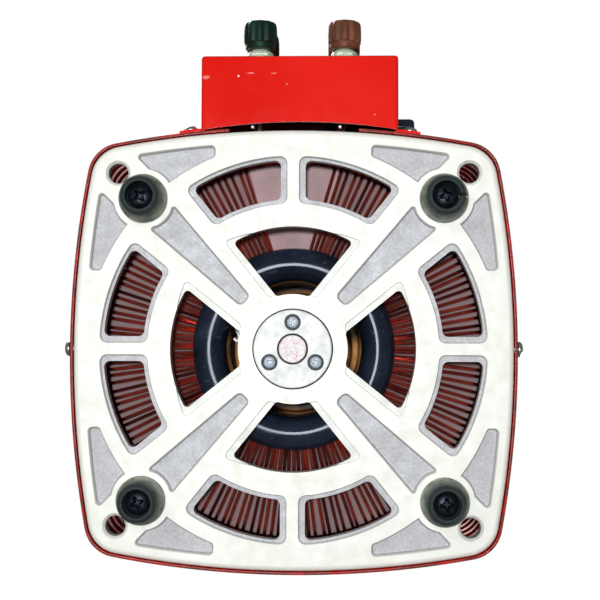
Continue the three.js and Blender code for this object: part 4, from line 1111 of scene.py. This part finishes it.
def terminal_box():
    """A folded sheet box, open at the back, where its edges follow the cover's wall."""
    x0, x1, z0, z1 = BOX_X - BOX_HALF, BOX_X + BOX_HALF, BOX_LOW.z, BOX_HIGH.z
    made = bmesh.new()
    front = rounded_box(x0, x1, z0, z1, 1.6, 4)
    inset = grown(front, -0.9)
    rings = upright(inset, BOX_FRONT) + upright(grown(front, -0.25), BOX_FRONT + 0.35)
    add_rings(made, rings + upright(front, BOX_FRONT + 1.2, -80))
    shell = piece("terminal_box_sheet", made)
    inner = rounded_box(x0 + BOX_SHEET, x1 - BOX_SHEET, z0 + BOX_SHEET, z1 - BOX_SHEET, 0.8, 3)
    hollow = bmesh.new()
    add_rings(hollow, upright(inner, BOX_FRONT + BOX_SHEET, -70))
    back = prism("back", circle(REAR_R, BOX_X, REAR_R - REAR_Y, 360), 0, 200)
    cut(shell, piece("hollow", hollow), back)
    ears = []
    for z in (BOX_LOW.z + 2.1, BOX_LOW.z + 79.1):
        for low_x, high_x in ((x0 - 9, x0 + BOX_SHEET), (x1 - BOX_SHEET, x1 + 9)):
            steps = [low_x + (high_x - low_x) * k / 6 for k in range(7)]
            strip = [(x, wall_y(x, 1.5)) for x in steps] + [(x, wall_y(x, 0.3)) for x in reversed(steps)]
            ears.append(prism("ear", strip, z, z + 12))
    combined(shell, ears, "UNION")
    openings = bmesh.new()
    panel = (BOX_FRONT - 2, BOX_FRONT + 3)
    x, _, z = centre_mm("meter_case")
    add_rings(openings, upright(rounded_box(x - 23.3, x + 23.3, z - 16.3, z + 16.3), *panel))
    _, y, z = centre_mm("fuse_cap")
    add_rings(openings, [[(v, u, w) for u, w in circle(6.5, y - AXIS_Y, z, 32)] for v in (x1 - 4, x1 + 4)])
    for node in POSTS:
        x, _, z = centre_mm("post_base_" + node)
        add_rings(openings, upright(circle(3.3, x, z, 24), *panel))
    cut(shell, piece("openings", openings))
    bevelled(shell, 0.25, 2, 50)
    centre = Vector((BOX_X, REAR_R - REAR_Y))
    # Marks the bevel along the back arc's lower edge, for a painted highlight.
    mark_faces(shell, "sheared_edge_highlight", lambda at, normal: abs((at.xy - centre).length - REAR_R) < 0.45
               and normal.y > 0.2 and at.z < BOX_LOW.z + 4)
    return place(shell, AXIS)


POSTS = {"supply_neutral": "green", "supply_live": "brown", "output_neutral": "green", "output_live": "brown"}
finished(terminal_box(), "red", stands_for="terminal_box")

for side in ("left", "right", "lower_left", "lower_right", "upper_left", "upper_right"):
    node = "cover_screw_" + side
    low, high = box_mm(node)
    middle = centre_mm(node)
    made = screw(node + "_head", 3.1, 1.9, 1.5, 6)
    if side in ("left", "right"):
        away = -1 if side == "left" else 1
        outward = Matrix.Rotation(math.radians(90 * away), 3, "Y")
        at = (low.x + 1.9 if away < 0 else high.x - 1.9, middle.y, middle.z)
    else:
        lean = math.asin((middle.x - AXIS_X) / SIDE_RADIUS)
        outward = Matrix.Rotation(lean, 3, "Z") @ FRONT
        at = (middle.x + 2.1 * math.sin(lean), middle.y - 2.1 * math.cos(lean), middle.z)
    finished(place(made, at, outward), "zinc", stands_for=node)

# ---- Binding posts -------------------------------------------------------------------------------


def post_base(node):
    """The insulating flange and bright nut that the cap screws down to, and its stud."""
    x, _, z = centre_mm("post_base_" + node)
    profile = [(3, 0), (7.2, 0, 0.3), (7.2, 1.8, 0.4), (5.7, 2.2, 0.3), (5.4, 3.8, 0.8), (3.6, 5.3, 0.5)]
    profile += [(3, 5.3)]
    flange = lathe("flange", filleted(profile, 3), 48)
    nut = prism("nut", circle(6.5, sides=6), 1.7, 2.9)
    stud = lathe("stud", [(0, -15), (2, -15), (2, 6), (0, 6)], 24)
    bush = lathe("bush", [(0, -2.2), (3, -2.2), (3, 1), (0, 1)], 24)
    inner_nut = prism("inner_nut", circle(4, sides=6), -4.5, -1.9)
    combined(flange, [nut, stud, bush, inner_nut], "UNION")
    return place(bevelled(flange, 0.12, 1, 50), (x, AXIS_Y + BOX_FRONT - 0.3, z), FRONT)


def post_cap(node):
    """A fluted grip, crowned at its end, over a narrower collar."""
    low, high = box_mm("post_cap_" + node)
    middle, length = (low + high) / 2, high.y - low.y
    deep, faint = 0.75, 0.25
    levels = [(5.3, 0.94, deep), (5.8, 1.0, deep), (length * 0.62, 1.01, deep), (length - 2.0, 0.99, deep)]
    levels += [(length - 0.9, 0.95, deep), (length - 0.3, 0.86, faint), (length, 0.7, faint)]
    grip = fluted("post_cap_" + node + "_moulding", 7.05, 10, 8, levels)
    collar = [(2.3, 2.8), (5.9, 2.8, 0.5), (6.3, 3.6, 0.3), (6.3, 6.4), (2.3, 6.4)]
    collar = lathe("collar", filleted(collar, 3), 64)
    insert = prism("dimple", circle(2.6, sides=32), length - 0.7, length + 1)
    combined(grip, [collar], "UNION")
    cut(grip, insert)
    return place(bevelled(grip, 0.15, 1, 40), (middle.x, high.y, middle.z), FRONT)


for node, look in POSTS.items():
    finished(post_base(node), "nickel", stands_for="post_base_" + node)
    finished(post_cap(node), look, "cap_" + node, "post_cap_" + node)

# ---- Knob and dial -------------------------------------------------------------------------------

REST = math.radians(-110)
SWEEP = math.radians(320)
REST_TURN = Matrix.Rotation(REST, 3, "Z")


def knob():
    low, high = box_mm("knob")
    skirt_r, grip_r, bottom, top = 34.0, 29.0, low.z, high.z
    loop = [(5.8, bottom + 8), (15, bottom + 8), (15, bottom + 5.6), (28, bottom + 5.6), (28, bottom, 0.4)]
    loop += [(skirt_r, bottom, 0.6), (skirt_r, bottom + 3, 1.2), (skirt_r - 2.6, bottom + 6, 1.6)]
    loop += [(grip_r - 4, bottom + 7.5), (5.8, bottom + 7.5 + 1)]
    made = lathe("knob_moulding", filleted(loop, 5), 144)
    height = top - bottom
    levels = [(5.2, 1.0, 1.3), (6.4, 1.0, 1.5), (height - 3.2, 0.965, 1.5), (height - 1.6, 0.95, 1.3)]
    levels += [(height - 0.5, 0.925, 0.9), (height, 0.89, 0.4)]
    combined(made, [fluted("grip", grip_r, 14, 12, levels, bottom)], "UNION")
    well = prism("well", circle(19.6, sides=96), top - 1.0, top + 1)
    bore = prism("bore", circle(5.85, sides=48), bottom - 1, top - 3.7)
    hole = place(prism("hole", circle(2, sides=24), 6, 36), (0, 0, bottom + 12), RIGHT)
    cut(made, well, bore, hole)
    return place(bevelled(made, 0.25, 2, 50), AXIS, REST_TURN)


finished(knob(), "black", "rotor", "knob")


def knob_cap():
    low, high = box_mm("knob_cap")
    r, z0, z1 = (high.x - low.x) / 2, low.z, high.z
    profile = [(0, z0), (r, z0), (r, z1 - 0.6), (r - 0.25, z1 - 0.2), (r - 0.8, z1)]
    profile += [(r - 3, z1), (r - 3.3, z1 - 0.15), (r - 3.6, z1), (0, z1)]
    return place(lathe("knob_cap_spun", profile, 128), AXIS)


finished(knob_cap(), "steel", "rotor", "knob_cap")


def pointer():
    """The white line down the knob's flank and over its skirt."""
    low, high = box_mm("knob")
    made = bmesh.new()
    add_prism(made, rounded_box(27.4, 33.2, -0.6, 0.6, 0.3, 2), rounded_box(27.4, 31.4, -0.6, 0.6, 0.3, 2),
              low.z + 3.2, low.z + 6.25)
    line = piece("knob_pointer", made)
    top = prism("mark", rounded_box(20.6, 25.6, -0.7, 0.7, 0.4, 2), high.z - 0.1, high.z + 0.12)
    combined(line, [top], "UNION")
    return place(line, AXIS, REST_TURN)


finished(pointer(), "pointer", "rotor")
grub = lathe("knob_grub", [(0, 0), (1.7, 0), (1.7, 7), (0, 7)], 24)
cut(grub, prism("hex", circle(0.9, sides=6), 5.5, 8))
place(grub, (19, 0, box_mm("knob")[0].z + 12), RIGHT)
finished(place(grub, AXIS, REST_TURN), "dark_screw", "rotor")


def dial_plate():
    low, high = box_mm("dial_plate")
    r = (high.x - low.x) / 2
    groove = [(r - 1.2, high.z), (r - 1.35, high.z - 0.15), (r - 1.6, high.z)]
    loop = [(8, low.z), (r, low.z, 0.2), (r, high.z, 0.3), *groove, (8, high.z)]
    return place(lathe("dial_plate_enamelled", filleted(loop, 3), 160), AXIS)


def label(text, size):
    """Figures as a thin solid, centred on the origin in the XY plane, in millimetres."""
    curve = bpy.data.curves.new("figures", "FONT")
    curve.body = text
    curve.size = size * MM
    curve.extrude = 0.03 * MM
    curve.align_x = "CENTER"
    curve.align_y = "CENTER"
    curve.resolution_u = 3
    maker = linked("figures", curve)
    mesh = evaluated(maker)
    bpy.data.objects.remove(maker)
    return mesh


def figures_round(count, size, r, height, start, sweep):
    """The figures of a scale, every 50 from 0, upright about its centre and clockwise from start."""
    meshes = []
    for i in range(count + 1):
        a = start - sweep * i / count
        figures = label(str(50 * i), size)
        spot = Vector((math.cos(a) * r, math.sin(a) * r, height)) * MM
        figures.transform(Matrix.Translation(spot) @ Matrix.Rotation(a - math.pi / 2, 4, "Z"))
        meshes.append(figures)
    return meshes


def join_meshes(name, meshes):
    made = bmesh.new()
    for mesh in meshes:
        made.from_mesh(mesh)
    mesh = bpy.data.meshes.new(name)
    made.to_mesh(mesh)
    made.free()
    return linked(name, mesh)


def scale_marks(count, long_every, r_in, r_out, r_short, start, sweep, thick, width=0.25):
    """Radial marks of a scale as thin solids, clockwise from start."""
    made = bmesh.new()
    for i in range(count + 1):
        major = i % long_every == 0
        inner = r_in if major else r_short
        half = width * (1.6 if major else 1.0)
        a = start - sweep * i / count
        spot = turned(rounded_box(inner, r_out, -half, half), math.degrees(a))
        add_prism(made, spot, spot, 0, thick)
    return mesh_of("marks", made)


def dial_print():
    """The scale round the knob: marks every 10 and figures every 50, from 0 to 250."""
    high = box_mm("dial_plate")[1]
    meshes = [scale_marks(50, 5, 41.5, 45.8, 43.6, REST, SWEEP, 0.08)]
    meshes += figures_round(5, 5.2, 49.3, 0.04, REST, SWEEP)
    return place(join_meshes("dial_figures", meshes), (AXIS_X, AXIS_Y, high.z))


finished(dial_plate(), "dial", stands_for="dial_plate")
finished(dial_print(), "print")
keep("steel", "stop_pin")

# ---- Voltmeter -----------------------------------------------------------------------------------

METER_LOW, METER_HIGH = box_mm("meter_case")
METER_X, _, METER_Z = centre_mm("meter_case")
NEEDLE_PIVOT_Z = METER_Z - 9


def meter_case():
    """The moulded bezel with its well, and the body behind the panel."""
    half_w, half_h = (METER_HIGH.x - METER_LOW.x) / 2, (METER_HIGH.z - METER_LOW.z) / 2
    front = AXIS_Y + BOX_FRONT - 0.3 - METER_LOW.y
    outline = rounded_box(-half_w, half_w, -half_h, half_h, 2.5, 6)
    levels = [(0, 0.3), (0.3, 0.0), (front - 1.6, 0.0), (front - 0.7, 0.35), (front - 0.4, 1.0)]
    rings = [[(u, v, y) for u, v in grown(outline, -back)] for y, back in levels]
    made = bmesh.new()
    add_rings(made, rings)
    bezel = piece("meter_bezel", made)
    well = rounded_box(-half_w + 3, half_w - 3, -half_h + 3, half_h - 3, 1.2, 4)
    levels = [(1.6, well), (front - 1.4, well), (front + 0.5, grown(well, 0.9))]
    cutter = bmesh.new()
    add_rings(cutter, [[(u, v, y) for u, v in outline] for y, outline in levels])
    body = prism("body", rounded_box(-23, 23, -16, 16, 1.5, 3), -9.5, 1)
    cut(bezel, piece("well", cutter))
    zero = lathe("zero", [(0, 1), (2, 1), (2, front - 0.2), (1.6, front), (0, front)], 32)
    place(zero, (0, -half_h + 6, 0))
    combined(bezel, [body, zero], "UNION")
    cut(bezel, prism("slot", rounded_box(-1.4, 1.4, -half_h + 5.7, -half_h + 6.3), front - 0.5, front + 1))
    return place(bevelled(bezel, 0.2, 2, 50), (METER_X, AXIS_Y + BOX_FRONT - 0.3, METER_Z), FRONT)


def meter_sheet(name, node, thick_bevel):
    """A sheet in the meter's well, with a hole for the zero adjuster."""
    low, high = box_mm(node)
    outline = rounded_box(low.x - METER_X, high.x - METER_X, low.z - METER_Z, high.z - METER_Z, 0.9, 3)
    made = prism(name, outline, 0, high.y - low.y)
    half_h = (METER_HIGH.z - METER_LOW.z) / 2
    cut(made, prism("hole", circle(2.3, 0, -half_h + 6, 32), -1, 3))
    return place(bevelled(made, thick_bevel, 1, 50), (METER_X, high.y, METER_Z), FRONT)


def meter_print():
    """The arc, marks and figures of the voltmeter's face, about the needle's pivot."""
    start, sweep = math.radians(90 + 42), math.radians(84)
    band = bmesh.new()
    edge = arc(0, 0, 20.3, start, start - sweep, 48) + arc(0, 0, 20.0, start - sweep, start, 48)
    add_prism(band, edge, edge, 0, 0.05)
    meshes = [scale_marks(30, 5, 20.2, 23.4, 21.6, start, sweep, 0.05, 0.11), mesh_of("band", band)]
    meshes += figures_round(6, 2.7, 25.9, 0.02, start, sweep)
    front = box_mm("meter_dial")[0].y - 0.01
    return place(join_meshes("meter_figures", meshes), (METER_X, front, NEEDLE_PIVOT_Z), FRONT)


finished(meter_case(), "black", stands_for="meter_case")
finished(meter_sheet("meter_face", "meter_dial", 0.05), "dial", stands_for="meter_dial")
finished(meter_sheet("meter_pane", "meter_window", 0.1), "pane", stands_for="meter_window")
finished(meter_print(), "print")
keep("print", "meter_needle")

# ---- Fuse ----------------------------------------------------------------------------------------


def fuse_cap():
    _, y, z = centre_mm("fuse_cap")
    start = BOX_X + BOX_HALF + 2.7
    length = box_mm("fuse_cap")[1].x - start
    levels = [(0, 0.96, 0.2), (0.5, 1.0, 0.4), (length - 1.6, 1.0, 0.4), (length - 0.5, 0.95, 0.2)]
    grip = fluted("fuse_cap_moulding", 7.0, 20, 6, [*levels, (length, 0.86, 0.05)])
    combined(grip, [lathe("plug", [(0, -5), (4.3, -5), (4.3, 0.6), (0, 0.6)], 40)], "UNION")
    cut(grip, prism("slot", rounded_box(-4.6, 4.6, -0.6, 0.6, 0.3, 2), length - 1.2, length + 1))
    cut(grip, prism("socket", circle(2.8, sides=24), -6, 2.0))
    return place(bevelled(grip, 0.12, 1, 45), (start, y, z), RIGHT)


finished(fuse_cap(), "black", "fuse", "fuse_cap")
keep("black", "fuse_holder")
keep("fuse_glass", "fuse_link")

# ---- Leads and small trim ------------------------------------------------------------------------

keep("lead", "lead_winding_start", "lead_winding_end", "lead_brush")
keep("lead_black", "lead_common")


def sleeving_hook():
    """The end of a white sleeving that curls out past the left of the hub."""
    points = [(-24.6, -9.8, 34), (-23.9, -7.4, 27), (-22.9, -6.6, 22.5)]
    points += [(-22.3, -4.4, 21.4), (-23.2, -3.2, 21.6), (-24.4, -4.2, 22.2)]
    path = [Vector(p) + Vector(AXIS) for p in curved(points)]
    return tube("sleeving_hook", path, 0.55, 12)


finished(sleeving_hook(), "sleeving")
for name, x in (("lead_sleeving_left", -16.7), ("lead_sleeving_right", 18.9)):
    points = [(x, -90.4, 14.5), (x + 0.3, -90.8, 19), (x, -91.8, 23)]
    path = [Vector(p) + Vector(AXIS) for p in curved(points)]
    finished(tube(name, path, 0.55, 12), "sleeving")

# ---- Studio --------------------------------------------------------------------------------------

CAMERA_MM = Vector((15.2, AXIS_Y - 0.4, -445.0))
FOCAL_PX = 1137.0
TILT = (-0.0422, 0.0269, 0.0015)


def camera():
    data = bpy.data.cameras.new("camera")
    data.sensor_width = 36.0
    data.lens = FOCAL_PX / 600 * data.sensor_width
    data.clip_start = 0.01
    obj = linked("camera", data)
    about_x, about_y, about_z = [Matrix.Rotation(tilt, 3, axis) for tilt, axis in zip(TILT, "XYZ")]
    seen = about_z @ about_y @ about_x
    rows = (seen[0], -seen[1], -seen[2])
    turn = Matrix(rows).transposed()
    obj.matrix_world = Matrix.Translation(CAMERA_MM * MM) @ turn.to_4x4()
    bpy.context.scene.camera = obj


def area_light(name, at, target, size, power, colour=(1, 1, 1)):
    data = bpy.data.lights.new(name, "AREA")
    data.shape = "SQUARE"
    data.size = size
    data.energy = power
    data.color = colour
    obj = linked(name, data)
    obj.location = at
    obj.rotation_euler = (Vector(target) - Vector(at)).to_track_quat("-Z", "Y").to_euler()
    return obj


def world():
    made = bpy.data.worlds.new("studio")
    made.use_nodes = True
    tree = made.node_tree
    sky = tree.nodes["Background"]
    seen = tree.nodes.new("ShaderNodeLightPath").outputs["Is Camera Ray"]
    strength = tree.nodes.new("ShaderNodeMapRange")
    strength.inputs["To Min"].default_value = 0.09
    strength.inputs["To Max"].default_value = 1.0
    tree.links.new(seen, strength.inputs["Value"])
    tree.links.new(strength.outputs["Result"], sky.inputs["Strength"])
    sky.inputs["Color"].default_value = (1.0, 1.0, 1.0, 1.0)
    bpy.context.scene.world = made


camera()
world()
LOW, HIGH = (0, 0, 0.02), (0, 0, 0.06)
area_light("key_below", (-0.08, -0.2, -1.9), LOW, 0.22, 32.0).visible_glossy = False
glint = area_light("glint_below", (-0.06, -0.01, -0.95), LOW, 0.3, 4.6, (0.84, 0.91, 1.0))
glint.visible_diffuse = False
area_light("side_below", (-0.6, -0.6, -0.8), LOW, 0.3, 2.4).visible_glossy = False
area_light("key_above", (-0.5, -0.7, 0.9), HIGH, 0.5, 9.0)
area_light("fill_above", (0.8, 0.5, 0.6), HIGH, 0.6, 6.0)
bpy.context.scene.view_settings.view_transform = "Standard"
